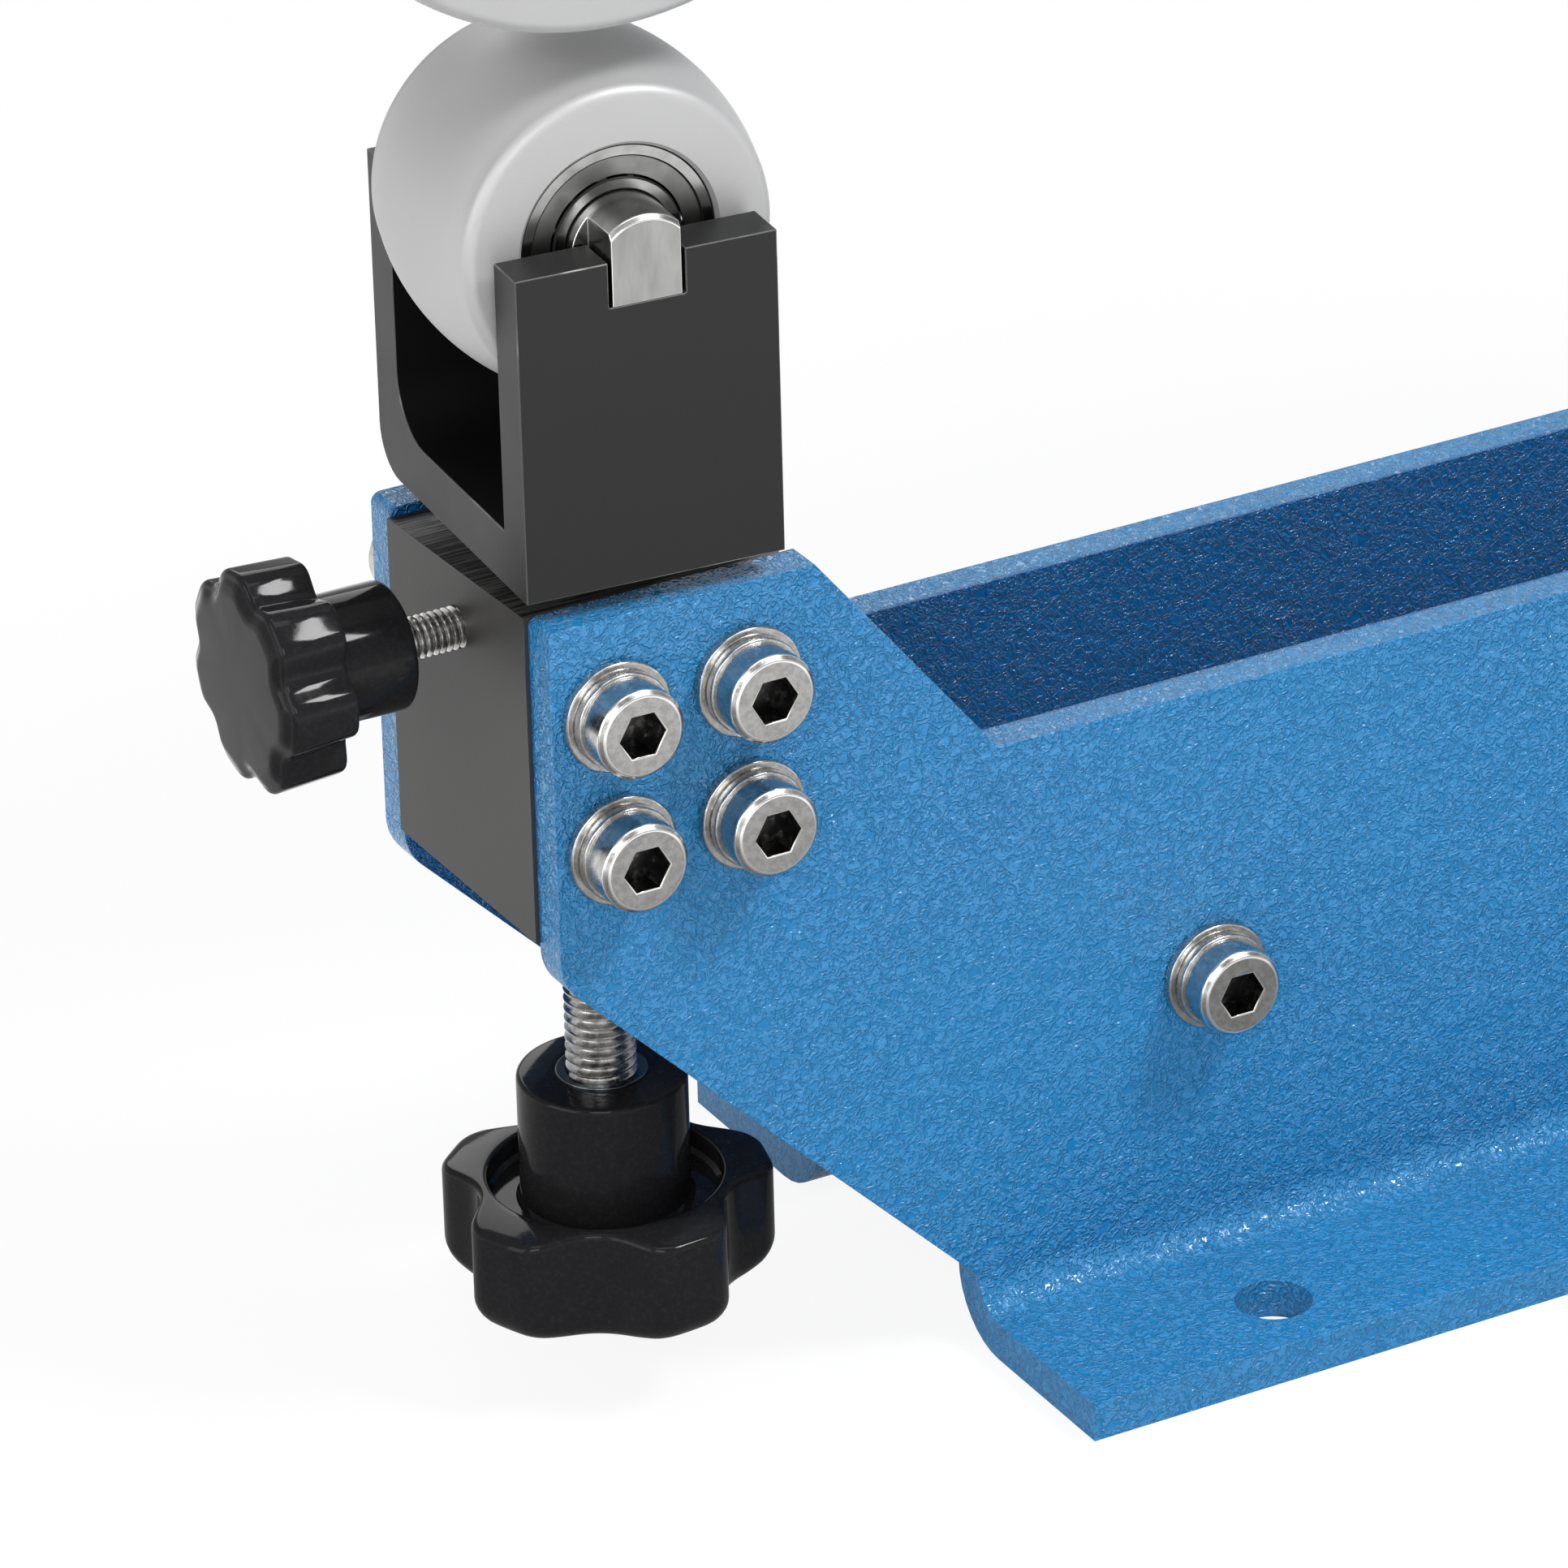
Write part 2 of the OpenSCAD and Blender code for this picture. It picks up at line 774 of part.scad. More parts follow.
module anvil_axle() {
    end_l = cheek_t + touch_gap;
    color("silver")
        on_axle()
            difference() {
                translate([0, 0, -yoke_w / 2])
                    rotate_extrude()
                        polygon([
                            [0, 0],
                            [axle_d / 2 - axle_bevel, 0],
                            [axle_d / 2, axle_bevel],
                            [axle_d / 2, yoke_w - axle_bevel],
                            [axle_d / 2 - axle_bevel, yoke_w],
                            [0, yoke_w]
                        ]);
                for (side = [0, 1])
                    mirror([0, 0, side])
                        translate([0, 0, yoke_w / 2 - end_l]) {
                            for (edge = [0, 1])
                                mirror([edge, 0, 0])
                                    translate([axle_end_w / 2, -axle_d, 0])
                                        cube([axle_d, 2 * axle_d, end_l + over]);
                            translate([-axle_d, -axle_seat - axle_d, 0])
                                cube([2 * axle_d, axle_d, end_l + over]);
                        }
            }
}

module anvil_bearing_inner_rings() {
    color("lightgray")
        at_anvil_bearings()
            bearing_inner(axle_d, anvil_bearing_d, anvil_bearing_w);
}

module anvil_bearing_outer_rings() {
    color("lightgray")
        at_anvil_bearings()
            bearing_outer(axle_d, anvil_bearing_d, anvil_bearing_w);
}

module anvil_bearing_shields() {
    color("dimgray")
        at_anvil_bearings()
            bearing_shields(axle_d, anvil_bearing_d, anvil_bearing_w);
}

module anvil_bearing_cages() {
    color("tan")
        at_anvil_bearings()
            bearing_cage(axle_d, anvil_bearing_d, anvil_ball_count);
}

module anvil_bearing_balls() {
    color("white")
        at_anvil_bearings()
            bearing_balls(axle_d, anvil_bearing_d, anvil_ball_count);
}

module anvil_spacer() {
    length = anvil_w - 2 * (anvil_bearing_in + anvil_bearing_w);
    color("darkgray")
        on_axle()
            translate([0, 0, -length / 2])
                ring(axle_d / 2 + spacer_wall, axle_d / 2 + snug, length);
}

// Wheel blank with a bearing seat in each end and a shoulder between them
module wheel_bores(wheel_w, bearing_d, bearing_w, inset, through_r) {
    seat_deep = bearing_w + inset;
    translate([0, 0, -wheel_w / 2 - over])
        cylinder(r = through_r, h = wheel_w + 2 * over);
    for (side = [0, 1])
        mirror([0, 0, side])
            translate([0, 0, wheel_w / 2 - seat_deep])
                cylinder(r = bearing_d / 2 + snug, h = seat_deep + over);
}

// Radius of the anvil's tread at the distance y from its middle
function crown_radius(y) = anvil_r - crown_r + sqrt(crown_r * crown_r - y * y);

// A profile of [radius, height] points, and the same points mirrored below z = 0
function both_halves(points) =
    concat(
        [for (i = [len(points) - 1:-1:0]) [points[i][0], -points[i][1]]],
        [for (p = points) if (p[1] > 0) p]
    );

module anvil_blank() {
    flank = anvil_w / 2 - anvil_shoulder_r;
    crown = [for (i = [0:arc_steps]) [crown_radius(flank * i / arc_steps), flank * i / arc_steps]];
    shoulder = arc([crown_radius(flank) - anvil_shoulder_r, flank], anvil_shoulder_r, 0, 90);
    rotate_extrude($fn = 96)
        polygon(both_halves(concat(
            crown,
            [for (i = [1:arc_steps]) shoulder[i]],
            [[0, anvil_w / 2]]
        )));
}

module anvil_wheel() {
    through_r = anvil_bearing_d / 2 - ring_share * section_of(axle_d, anvil_bearing_d);
    color("gainsboro")
        on_axle()
            difference() {
                anvil_blank();
                wheel_bores(anvil_w, anvil_bearing_d, anvil_bearing_w, anvil_bearing_in, through_r);
            }
}

// Upper wheel, axle and bearings

// Children along the upper axle, whose own Z points to the near side
module on_upper_axle() {
    translate([axis_x, 0, upper_axle_h])
        rotate([90, 0, 0])
            children();
}

module at_upper_bearings() {
    on_upper_axle()
        both_bearings(upper_w, upper_bearing_w, upper_bearing_in)
            children();
}

module upper_blank() {
    half = [
        [upper_r, 0, 0],
        [upper_r, upper_w / 2, upper_edge_r],
        [dish_outer_r, upper_w / 2, 0],
        [dish_outer_r - dish_deep, upper_w / 2 - dish_deep, 0],
        [dish_inner_r + dish_deep, upper_w / 2 - dish_deep, 0],
        [dish_inner_r, upper_w / 2, 0],
        [0, upper_w / 2, 0]
    ];
    lower = [for (i = [len(half) - 1:-1:1]) [half[i][0], -half[i][1], half[i][2]]];
    upper = [for (i = [1:len(half) - 1]) half[i]];
    rotate_extrude($fn = 128)
        polygon(rounded(concat(lower, upper)));
}

module upper_wheel() {
    through_r = upper_bearing_d / 2 - ring_share * section_of(axle_d, upper_bearing_d);
    color("gainsboro")
        on_upper_axle()
            difference() {
                upper_blank();
                wheel_bores(upper_w, upper_bearing_d, upper_bearing_w, upper_bearing_in, through_r);
            }
}

module upper_axle() {
    tapped_l = bolt_l - end_washer_t + tapped_extra;
    color("silver")
        on_upper_axle()
            difference() {
                translate([0, 0, -plate_y])
                    cylinder(d = axle_d, h = 2 * plate_y);
                for (side = [0, 1])
                    mirror([0, 0, side])
                        translate([0, 0, plate_y - tapped_l])
                            cylinder(r = bolt_d / 2 + snug, h = tapped_l + over);
            }
}

module upper_axle_bolts() {
    color("gainsboro")
        on_upper_axle()
            for (side = [0, 1])
                mirror([0, 0, side])
                    translate([0, 0, plate_y + end_washer_t])
                        socket_bolt(bolt_d, bolt_l, bolt_head_r, bolt_head_h, socket_af, socket_deep);
}

module upper_axle_washers() {
    color("lightgray")
        on_upper_axle()
            for (side = [0, 1])
                mirror([0, 0, side])
                    translate([0, 0, plate_y])
                        ring(end_washer_r, washer_hole_r, end_washer_t);
}

// One spacer between the bearings and one between each bearing and its plate
module upper_spacers() {
    middle_l = upper_w - 2 * (upper_bearing_in + upper_bearing_w);
    side_l = (plate_gap - upper_w) / 2 + upper_bearing_in;
    color("darkgray")
        on_upper_axle() {
            translate([0, 0, -middle_l / 2])
                ring(axle_d / 2 + spacer_wall, axle_d / 2 + snug, middle_l);
            for (side = [0, 1])
                mirror([0, 0, side])
                    translate([0, 0, plate_gap / 2 - side_l])
                        ring(axle_d / 2 + spacer_wall, axle_d / 2 + snug, side_l);
        }
}

module upper_bearing_inner_rings() {
    color("lightgray")
        at_upper_bearings()
            bearing_inner(axle_d, upper_bearing_d, upper_bearing_w);
}

module upper_bearing_outer_rings() {
    color("lightgray")
        at_upper_bearings()
            bearing_outer(axle_d, upper_bearing_d, upper_bearing_w);
}

module upper_bearing_shields() {
    color("dimgray")
        at_upper_bearings()
            bearing_shields(axle_d, upper_bearing_d, upper_bearing_w);
}

module upper_bearing_cages() {
    color("tan")
        at_upper_bearings()
            bearing_cage(axle_d, upper_bearing_d, upper_ball_count);
}

module upper_bearing_balls() {
    color("white")
        at_upper_bearings()
            bearing_balls(axle_d, upper_bearing_d, upper_ball_count);
}

// Thread drawn as rings, from z = 0 up to a whole number of pitches within the length

function ring_thread(r, pitch, length) =
    let (count = floor(length / pitch), depth = thread_depth_share * pitch)
    [for (i = [0:count - 1]) each [[r, (i + 1 / 8) * pitch], [r - depth, (i + 1 / 2) * pitch],
        [r, (i + 7 / 8) * pitch]]];

// Star knob outline with flat-ended lobes and hollow flutes
module star(r, lobes, half, valley_share, corner_share, valley_r_share) {
    polygon(rounded([
        for (k = [0:lobes - 1])
            let (a = k * 360 / lobes, v = a + 180 / lobes)
            each [
                [r / cos(half) * cos(a - half), r / cos(half) * sin(a - half), corner_share * r],
                [r / cos(half) * cos(a + half), r / cos(half) * sin(a + half), corner_share * r],
                [valley_share * r * cos(v), valley_share * r * sin(v), valley_r_share * r]
            ]
    ]));
}

// Thrust ball, lift screw and lift knob

stem_low_h = yoke_h0 - stem_l;
ball_h = stem_low_h - ball_show - bearing_ball_clear;
lift_tip_h = ball_h - ball_d / 2 - bearing_ball_clear;

module thrust_ball() {
    color("white")
        translate([axis_x, 0, ball_h])
            sphere(d = ball_d);
}

module lift_screw() {
    low_h = lift_hub_top_h - lift_hub_h;
    color("silver")
        translate([axis_x, 0, 0])
            rotate_extrude($fn = 48)
                polygon(concat(
                    [[0, low_h], [lift_d / 2, low_h], [lift_d / 2, lift_hub_top_h + insert_proud]],
                    [for (p = ring_thread(lift_d / 2, lift_pitch, lift_free_l - lift_pitch))
                        [p[0], p[1] + lift_hub_top_h + insert_proud]],
                    [
                        [lift_d / 2, block_bottom_h],
                        [lift_d / 2, lift_tip_h - screw_tip_bevel],
                        [lift_d / 2 - screw_tip_bevel, lift_tip_h],
                        [0, lift_tip_h]
                    ]
                ));
}

module lift_knob_insert() {
    color("gray")
        translate([axis_x, 0, lift_star_top_h])
            ring(lift_insert_r, lift_d / 2 + snug, lift_hub_h + insert_proud);
}

module lift_knob() {
    color("#1c1c1c")
        translate([axis_x, 0, lift_bottom_h])
            difference() {
                union() {
                    rotate([0, 0, lift_knob_turn])
                        linear_extrude(height = lift_star_h)
                            star(
                                lift_knob_r, lift_lobes, lift_lobe_half,
                                lift_valley_share, lift_lobe_corner_share, lift_valley_r_share
                            );
                    cylinder(r = lift_hub_r, h = lift_star_h + lift_hub_h);
                }
                translate([0, 0, lift_star_h - lift_groove_deep])
                    ring(lift_groove_r, lift_hub_r, lift_groove_deep + over);
                translate([0, 0, lift_star_h])
                    cylinder(r = lift_insert_r + snug, h = lift_hub_h + over);
            }
}

// Clamp pad, clamp screw and clamp knob: children's own Z points out of the block, along -X
module on_clamp() {
    translate([front_x, 0, clamp_h])
        rotate([0, -90, 0])
            children();
}

pad_inner = axis_in - stem_d / 2 - touch_gap;
clamp_tip = pad_inner - pad_l;

module clamp_pad() {
    color("goldenrod")
        on_clamp()
            translate([0, 0, -pad_inner])
                cylinder(d = clamp_d, h = pad_l);
}

module clamp_screw() {
    top = clamp_free_l + clamp_hub_l;
    color("silver")
        on_clamp()
            rotate_extrude($fn = 48)
                polygon(concat(
                    [
                        [0, -clamp_tip],
                        [clamp_d / 2 - screw_tip_bevel, -clamp_tip],
                        [clamp_d / 2, screw_tip_bevel - clamp_tip]
                    ],
                    ring_thread(clamp_d / 2, clamp_pitch, clamp_free_l - insert_proud),
                    [[clamp_d / 2, top], [0, top]]
                ));
}

module clamp_knob_insert() {
    color("gray")
        on_clamp()
            translate([0, 0, clamp_free_l - insert_proud])
                ring(clamp_insert_r, clamp_d / 2 + snug, clamp_hub_l + insert_proud);
}

module clamp_knob() {
    color("#1c1c1c")
        on_clamp()
            translate([0, 0, clamp_free_l])
                difference() {
                    union() {
                        cylinder(r = clamp_hub_r, h = clamp_hub_l + clamp_star_t);
                        translate([0, 0, clamp_hub_l])
                            rotate([0, 0, clamp_knob_turn])
                                linear_extrude(height = clamp_star_t)
                                    star(
                                        clamp_knob_r, clamp_lobes, clamp_lobe_half,
                                        clamp_valley_share, clamp_lobe_corner_share,
                                        clamp_valley_r_share
                                    );
                    }
                    translate([0, 0, -over])
                        cylinder(r = clamp_insert_r + snug, h = clamp_hub_l + over);
                }
}

near_side_plate();
far_side_plate();
guide_block();
tie_bars();
block_bolts_near();
block_bolts_far();
tie_bolts_near();
tie_bolts_far();
flat_washers_near();
flat_washers_far();
spring_washers_near();
spring_washers_far();
yoke();
guide_stem();
yoke_screw();
anvil_axle();
anvil_bearing_inner_rings();
anvil_spacer();
anvil_wheel();
anvil_bearing_outer_rings();
anvil_bearing_shields();
anvil_bearing_cages();
anvil_bearing_balls();
thrust_ball();
lift_screw();
lift_knob();
lift_knob_insert();
clamp_pad();
clamp_screw();
clamp_knob();
clamp_knob_insert();
upper_axle();
upper_axle_bolts();
upper_axle_washers();
upper_spacers();
upper_bearing_inner_rings();
upper_wheel();
upper_bearing_outer_rings();
upper_bearing_shields();
upper_bearing_cages();
upper_bearing_balls();
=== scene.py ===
# Bench-top English wheel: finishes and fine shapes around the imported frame, in metres.
import json
import math
import statistics
from collections import namedtuple

import bmesh
import bpy
from mathutils import Matrix, Vector

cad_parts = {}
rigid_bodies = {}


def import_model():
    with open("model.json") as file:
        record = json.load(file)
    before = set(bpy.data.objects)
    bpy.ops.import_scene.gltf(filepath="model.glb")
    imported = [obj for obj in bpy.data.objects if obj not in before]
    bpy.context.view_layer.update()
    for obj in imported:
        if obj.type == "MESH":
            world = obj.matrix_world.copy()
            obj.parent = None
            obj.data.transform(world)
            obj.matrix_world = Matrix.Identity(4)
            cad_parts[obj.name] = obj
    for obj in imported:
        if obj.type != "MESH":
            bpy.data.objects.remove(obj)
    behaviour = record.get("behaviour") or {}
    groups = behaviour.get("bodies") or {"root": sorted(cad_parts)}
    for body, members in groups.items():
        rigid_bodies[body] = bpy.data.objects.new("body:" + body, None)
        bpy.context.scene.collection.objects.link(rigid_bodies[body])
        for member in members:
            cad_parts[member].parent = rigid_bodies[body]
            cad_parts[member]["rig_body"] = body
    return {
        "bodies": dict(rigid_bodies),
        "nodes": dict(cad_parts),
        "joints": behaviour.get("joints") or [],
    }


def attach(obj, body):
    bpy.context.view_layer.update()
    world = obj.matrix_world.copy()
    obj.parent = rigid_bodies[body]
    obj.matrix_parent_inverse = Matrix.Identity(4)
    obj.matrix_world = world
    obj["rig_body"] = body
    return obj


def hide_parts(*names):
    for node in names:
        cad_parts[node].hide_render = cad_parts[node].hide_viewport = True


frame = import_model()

NODES = frame["nodes"]
JOINTS = {joint["name"]: joint for joint in frame["joints"]}
OWN = set(NODES.values()) | set(frame["bodies"].values())
for start_object in [o for o in bpy.data.objects if o not in OWN]:
    bpy.data.objects.remove(start_object)
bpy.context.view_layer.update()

MM = 0.001
SLOT_OF = {name: node.data.materials[0].name for name, node in NODES.items()}
PLATE_IN_Y = min(vertex.co.y for vertex in NODES["far_side_plate"].data.vertices)


# Camera: the photograph's view, with its place in the part's frame and its angles in degrees
CAMERA_PLACE = Vector((-0.73973, -1.03591, 0.67631))
CAMERA_AZIMUTH = -28.448
CAMERA_ELEVATION = 26.791
CAMERA_ROLL = -1.503
CAMERA_LENS = 218.62
CAMERA_SENSOR = 36.0


def make_camera():
    azimuth = math.radians(CAMERA_AZIMUTH)
    elevation = math.radians(CAMERA_ELEVATION)
    back = Vector((
        math.sin(azimuth) * math.cos(elevation),
        -math.cos(azimuth) * math.cos(elevation),
        math.sin(elevation),
    ))
    right = (-back).cross(Vector((0, 0, 1))).normalized()
    up = right.cross(-back)
    turn = Matrix.Rotation(math.radians(CAMERA_ROLL), 3, back)
    data = bpy.data.cameras.new("camera")
    data.lens = CAMERA_LENS
    data.sensor_width = CAMERA_SENSOR
    data.clip_start = 0.01
    data.clip_end = 50
    camera = bpy.data.objects.new("camera", data)
    pose = Matrix((turn @ right, turn @ up, back)).transposed().to_4x4()
    pose.translation = CAMERA_PLACE
    camera.matrix_world = pose
    bpy.context.scene.collection.objects.link(camera)
    bpy.context.scene.camera = camera


# Materials, with their colours in linear light and the scales of their noises per metre

BLUE = (0.013, 0.19, 0.42)
# Painted highlight and shade of the relief: the blues are lighter on the ridge crests than in the valleys,
# each with two random cloudy tones
BLUE_VALLEYS = ((0.005, 0.174, 0.410), (0.009, 0.186, 0.435))
BLUE_CRESTS = ((0.026, 0.216, 0.475), (0.034, 0.228, 0.495))
# Painted shade: a darker blue on the plates' inner faces, fading out over the width below
BLUE_PAINTED_SHADE_INSIDE = (0.003, 0.102, 0.300)
PAINTED_SHADE_FADE = 1.2 * MM
WRINKLE_SCALE = 820
SWELL_SCALE = 420
PATCH_SCALE = 26
RIDGE_WIDTH = 0.15
RIDGE_HEIGHTS = (0.7, 1.3)
SWELL_HEIGHT = 2.0
PAINT_BUMP = 0.22 * MM
COAT_BUMP = 0.26 * MM
COAT_ROUGHNESS = 0.17
BLOCK_BLACK = (0.034, 0.033, 0.032)
SAWN_BLACKS = ((0.004, 0.004, 0.004), (0.050, 0.048, 0.045))
SAW_LINES_PER_METRE = (90, 1500, 90)
SAW_MARK_HEIGHT = 6.0
LINE_STRETCH = 0.02

# The mix node's sockets, by number because several share a name
MIX_FACTOR = 0
MIX_VALUES = (2, 3)
MIX_COLOURS = (6, 7)
MIX_VALUE_RESULT = 0
MIX_COLOUR_RESULT = 2


class Finish:
    """A material being made: its Principled shader and the object's own coordinates in metres."""

    def __init__(self, name, colour, roughness, metallic=0.0, specular=0.5):
        self.material = bpy.data.materials.new(name)
        self.material.use_nodes = True
        self.tree = self.material.node_tree
        self.shader = self.tree.nodes["Principled BSDF"]
        self.shader.inputs["Base Color"].default_value = (*colour, 1)
        self.shader.inputs["Roughness"].default_value = roughness
        self.shader.inputs["Metallic"].default_value = metallic
        self.shader.inputs["Specular IOR Level"].default_value = specular
        self.place = self.add("ShaderNodeTexCoord").outputs["Object"]

    def add(self, kind, **settings):
        node = self.tree.nodes.new(kind)
        for key, value in settings.items():
            setattr(node, key, value)
        return node

    def feed(self, socket, value):
        if isinstance(value, bpy.types.NodeSocket):
            self.tree.links.new(value, socket)
        else:
            socket.default_value = value

    def stretched(self, scale):
        """The object's coordinates, scaled along X, Y and Z."""
        mapping = self.add("ShaderNodeMapping")
        self.feed(mapping.inputs["Vector"], self.place)
        mapping.inputs["Scale"].default_value = scale
        return mapping.outputs["Vector"]

    def noise(self, scale, detail=2.0, rough=0.5, distortion=0.0, place=None):
        noise = self.add("ShaderNodeTexNoise")
        self.feed(noise.inputs["Vector"], place or self.place)
        noise.inputs["Scale"].default_value = scale
        noise.inputs["Detail"].default_value = detail
        noise.inputs["Roughness"].default_value = rough
        noise.inputs["Distortion"].default_value = distortion
        return noise.outputs["Fac"]

    def spread(self, value, low, high, to_low=0.0, to_high=1.0):
        """value, taken from low..high to to_low..to_high with soft ends."""
        spread = self.add("ShaderNodeMapRange", interpolation_type="SMOOTHSTEP")
        self.feed(spread.inputs["Value"], value)
        spread.inputs["From Min"].default_value = low
        spread.inputs["From Max"].default_value = high
        spread.inputs["To Min"].default_value = to_low
        spread.inputs["To Max"].default_value = to_high
        return spread.outputs["Result"]

    def split(self, vector, axis):
        """The X, Y or Z of a vector."""
        parts = self.add("ShaderNodeSeparateXYZ")
        self.feed(parts.inputs[0], vector)
        return parts.outputs[axis]

    def combine(self, operation, first, second):
        """Two values, taken through an operation of arithmetic."""
        node = self.add("ShaderNodeMath", operation=operation)
        self.feed(node.inputs[0], first)
        self.feed(node.inputs[1], second)
        return node.outputs["Value"]

    def away_from(self, middle, value):
        """How far a value lies from the middle."""
        return self.combine("ABSOLUTE", self.combine("SUBTRACT", value, middle), 0.0)

    def blend(self, factor, first, second):
        """A colour between two, by a factor."""
        mix = self.add("ShaderNodeMix", data_type="RGBA")
        self.feed(mix.inputs[MIX_FACTOR], factor)
        for socket, colour in zip(MIX_COLOURS, (first, second)):
            made = isinstance(colour, bpy.types.NodeSocket)
            self.feed(mix.inputs[socket], colour if made else (*colour, 1))
        return mix.outputs[MIX_COLOUR_RESULT]

    def set(self, socket, value):
        self.feed(self.shader.inputs[socket], value)

    def tint(self, value, low, high, first, second):
        """Colours the surface from first to second as value goes from low to high."""
        self.set("Base Color", self.blend(self.spread(value, low, high), first, second))

    def polish(self, value, smooth, rough, low=0.3, high=0.7):
        """Makes the surface from smooth to rough as value goes from low to high."""
        self.set("Roughness", self.spread(value, low, high, smooth, rough))

    def bump(self, height, distance, strength=1.0, socket="Normal"):
        bump = self.add("ShaderNodeBump")
        bump.inputs["Strength"].default_value = strength
        bump.inputs["Distance"].default_value = distance
        self.feed(bump.inputs["Height"], height)
        self.feed(self.shader.inputs[socket], bump.outputs["Normal"])


def grey(level):
    """A colour without hue."""
    return (level, level, level)


def times(colour, share):
    """A colour made lighter or darker."""
    return tuple(part * share for part in colour)


def blue_paint():
    """Hammered blue powder coat: a glossy skin of fine crooked ridges, with painted shade on the plates'
    inner faces.
    """
    finish = Finish("blue_powder_coat", BLUE, roughness=0.45, specular=0.1)
    finish.set("Coat Weight", 1.0)
    finish.set("Coat Roughness", COAT_ROUGHNESS)
    wrinkle = finish.noise(WRINKLE_SCALE, detail=1.5, distortion=1.0)
    crest = finish.spread(finish.away_from(0.5, wrinkle), 0.0, RIDGE_WIDTH, 1.0, 0.0)
    patch = finish.noise(PATCH_SCALE)
    cloudy = finish.spread(patch, 0.3, 0.7)
    # Painted highlight on the crests and painted shade in the valleys
    valleys, crests = (finish.blend(cloudy, *blues) for blues in (BLUE_VALLEYS, BLUE_CRESTS))
    outer_coat = finish.blend(crest, valleys, crests)
    # Painted shade: the colour turns to a darker blue on the inner faces of the plates
    across = finish.away_from(0.0, finish.split(finish.place, "Y"))
    inside = finish.spread(across, PLATE_IN_Y, PLATE_IN_Y + PAINTED_SHADE_FADE, 1.0, 0.0)
    finish.set("Base Color", finish.blend(inside, outer_coat, BLUE_PAINTED_SHADE_INSIDE))
    swell = finish.combine("MULTIPLY", finish.noise(SWELL_SCALE, detail=1.0), SWELL_HEIGHT)
    ridge = finish.combine("MULTIPLY", crest, finish.spread(patch, 0.25, 0.75, *RIDGE_HEIGHTS))
    height = finish.combine("ADD", ridge, swell)
    finish.bump(height, PAINT_BUMP)
    finish.bump(height, COAT_BUMP, socket="Coat Normal")
    return finish.material


def black_metal(name, colour, roughness, specular):
    """Satin black on milled steel: a faint grain, and cloudy gloss."""
    finish = Finish(name, colour, roughness, specular=specular)
    cloud = finish.noise(40, detail=3.0)
    finish.tint(cloud, 0.35, 0.7, colour, times(colour, 1.25))
    finish.polish(cloud, roughness - 0.04, roughness + 0.04, low=0.25, high=0.75)
    finish.bump(finish.noise(1900), 0.03 * MM, strength=0.3)
    return finish.material


def black_yoke():
    return black_metal("satin_black_yoke", grey(0.006), roughness=0.46, specular=0.45)


def black_screw():
    return black_metal("black_oxide_screw", (0.015, 0.014, 0.013), roughness=0.38, specular=0.5)


def black_block():
    """Blackened bar, sawn along X on its top face and satin on its sides."""
    finish = Finish("blackened_block", BLOCK_BLACK, roughness=0.48)
    normal = finish.add("ShaderNodeNewGeometry").outputs["Normal"]
    is_top = finish.spread(finish.split(normal, "Z"), 0.8, 0.95)
    saw = finish.noise(1.0, detail=1.0, place=finish.stretched(SAW_LINES_PER_METRE))
    groove = finish.spread(saw, 0.40, 0.60)
    sawn = finish.blend(groove, *SAWN_BLACKS)
    finish.set("Base Color", finish.blend(is_top, BLOCK_BLACK, sawn))
    top_groove = finish.combine("MULTIPLY", is_top, groove)
    saw_marks = finish.combine("MULTIPLY", top_groove, SAW_MARK_HEIGHT)
    finish.bump(finish.combine("ADD", saw_marks, finish.noise(1500)), 0.03 * MM, strength=0.6)
    return finish.material


def worn_edge():
    """Black edge, rubbed lighter, and bare in a few long places."""
    finish = Finish("worn_black_edge", grey(0.05), roughness=0.4)
    bare = finish.spread(finish.noise(70, detail=3.0, rough=0.6), 0.50, 0.75)
    finish.set("Base Color", finish.blend(bare, grey(0.06), (0.40, 0.39, 0.37)))
    finish.set("Metallic", finish.combine("MULTIPLY", bare, 0.6))
    return finish.material


def socket_painted_shade():
    """Painted shade inside a hexagon socket: a dark metal with lighter smears at random."""
    finish = Finish("socket_painted_shade", (0.030, 0.028, 0.026), roughness=0.30, metallic=1.0)
    smear = finish.noise(700, detail=3.0, rough=0.6)
    finish.tint(smear, 0.50, 0.75, grey(0.05), (0.30, 0.29, 0.28))
    return finish.material


def steel(name, colour, roughness, lines_per_metre, along):
    """Turned or ground steel: fine lines across the stretched axis, and a cloudy polish."""
    finish = Finish(name, colour, roughness, metallic=1.0)
    scale = [lines_per_metre if axis == along else lines_per_metre * LINE_STRETCH for axis in "XYZ"]
    line = finish.noise(1.0, detail=3.0, rough=0.6, place=finish.stretched(scale))
    finish.tint(line, 0.3, 0.7, times(colour, 0.82), colour)
    finish.polish(finish.noise(130), roughness - 0.05, roughness + 0.06)
    finish.bump(line, 0.02 * MM, strength=0.5)
    return finish.material


def turned_steel():
    return steel("turned_steel_finish", (0.37, 0.37, 0.365), 0.26, lines_per_metre=5200, along="Y")


def insert_steel():
    return steel("insert_steel_finish", (0.16, 0.18, 0.19), 0.30, lines_per_metre=3000, along="Z")


def brass_pad():
    return steel("turned_brass", (0.72, 0.50, 0.20), 0.30, lines_per_metre=3000, along="X")


def stainless():
    """Stainless screws and washers, with small scratches and stains."""
    finish = Finish("stainless_finish", (0.55, 0.54, 0.52), roughness=0.22, metallic=1.0)
    stain = finish.noise(1100, rough=0.6)
    scuff = finish.noise(900, detail=4.0, rough=0.7)
    finish.tint(stain, 0.35, 0.65, (0.46, 0.455, 0.44), (0.58, 0.575, 0.56))
    finish.polish(scuff, 0.15, 0.30)
    finish.bump(scuff, 0.02 * MM, strength=0.4)
    return finish.material


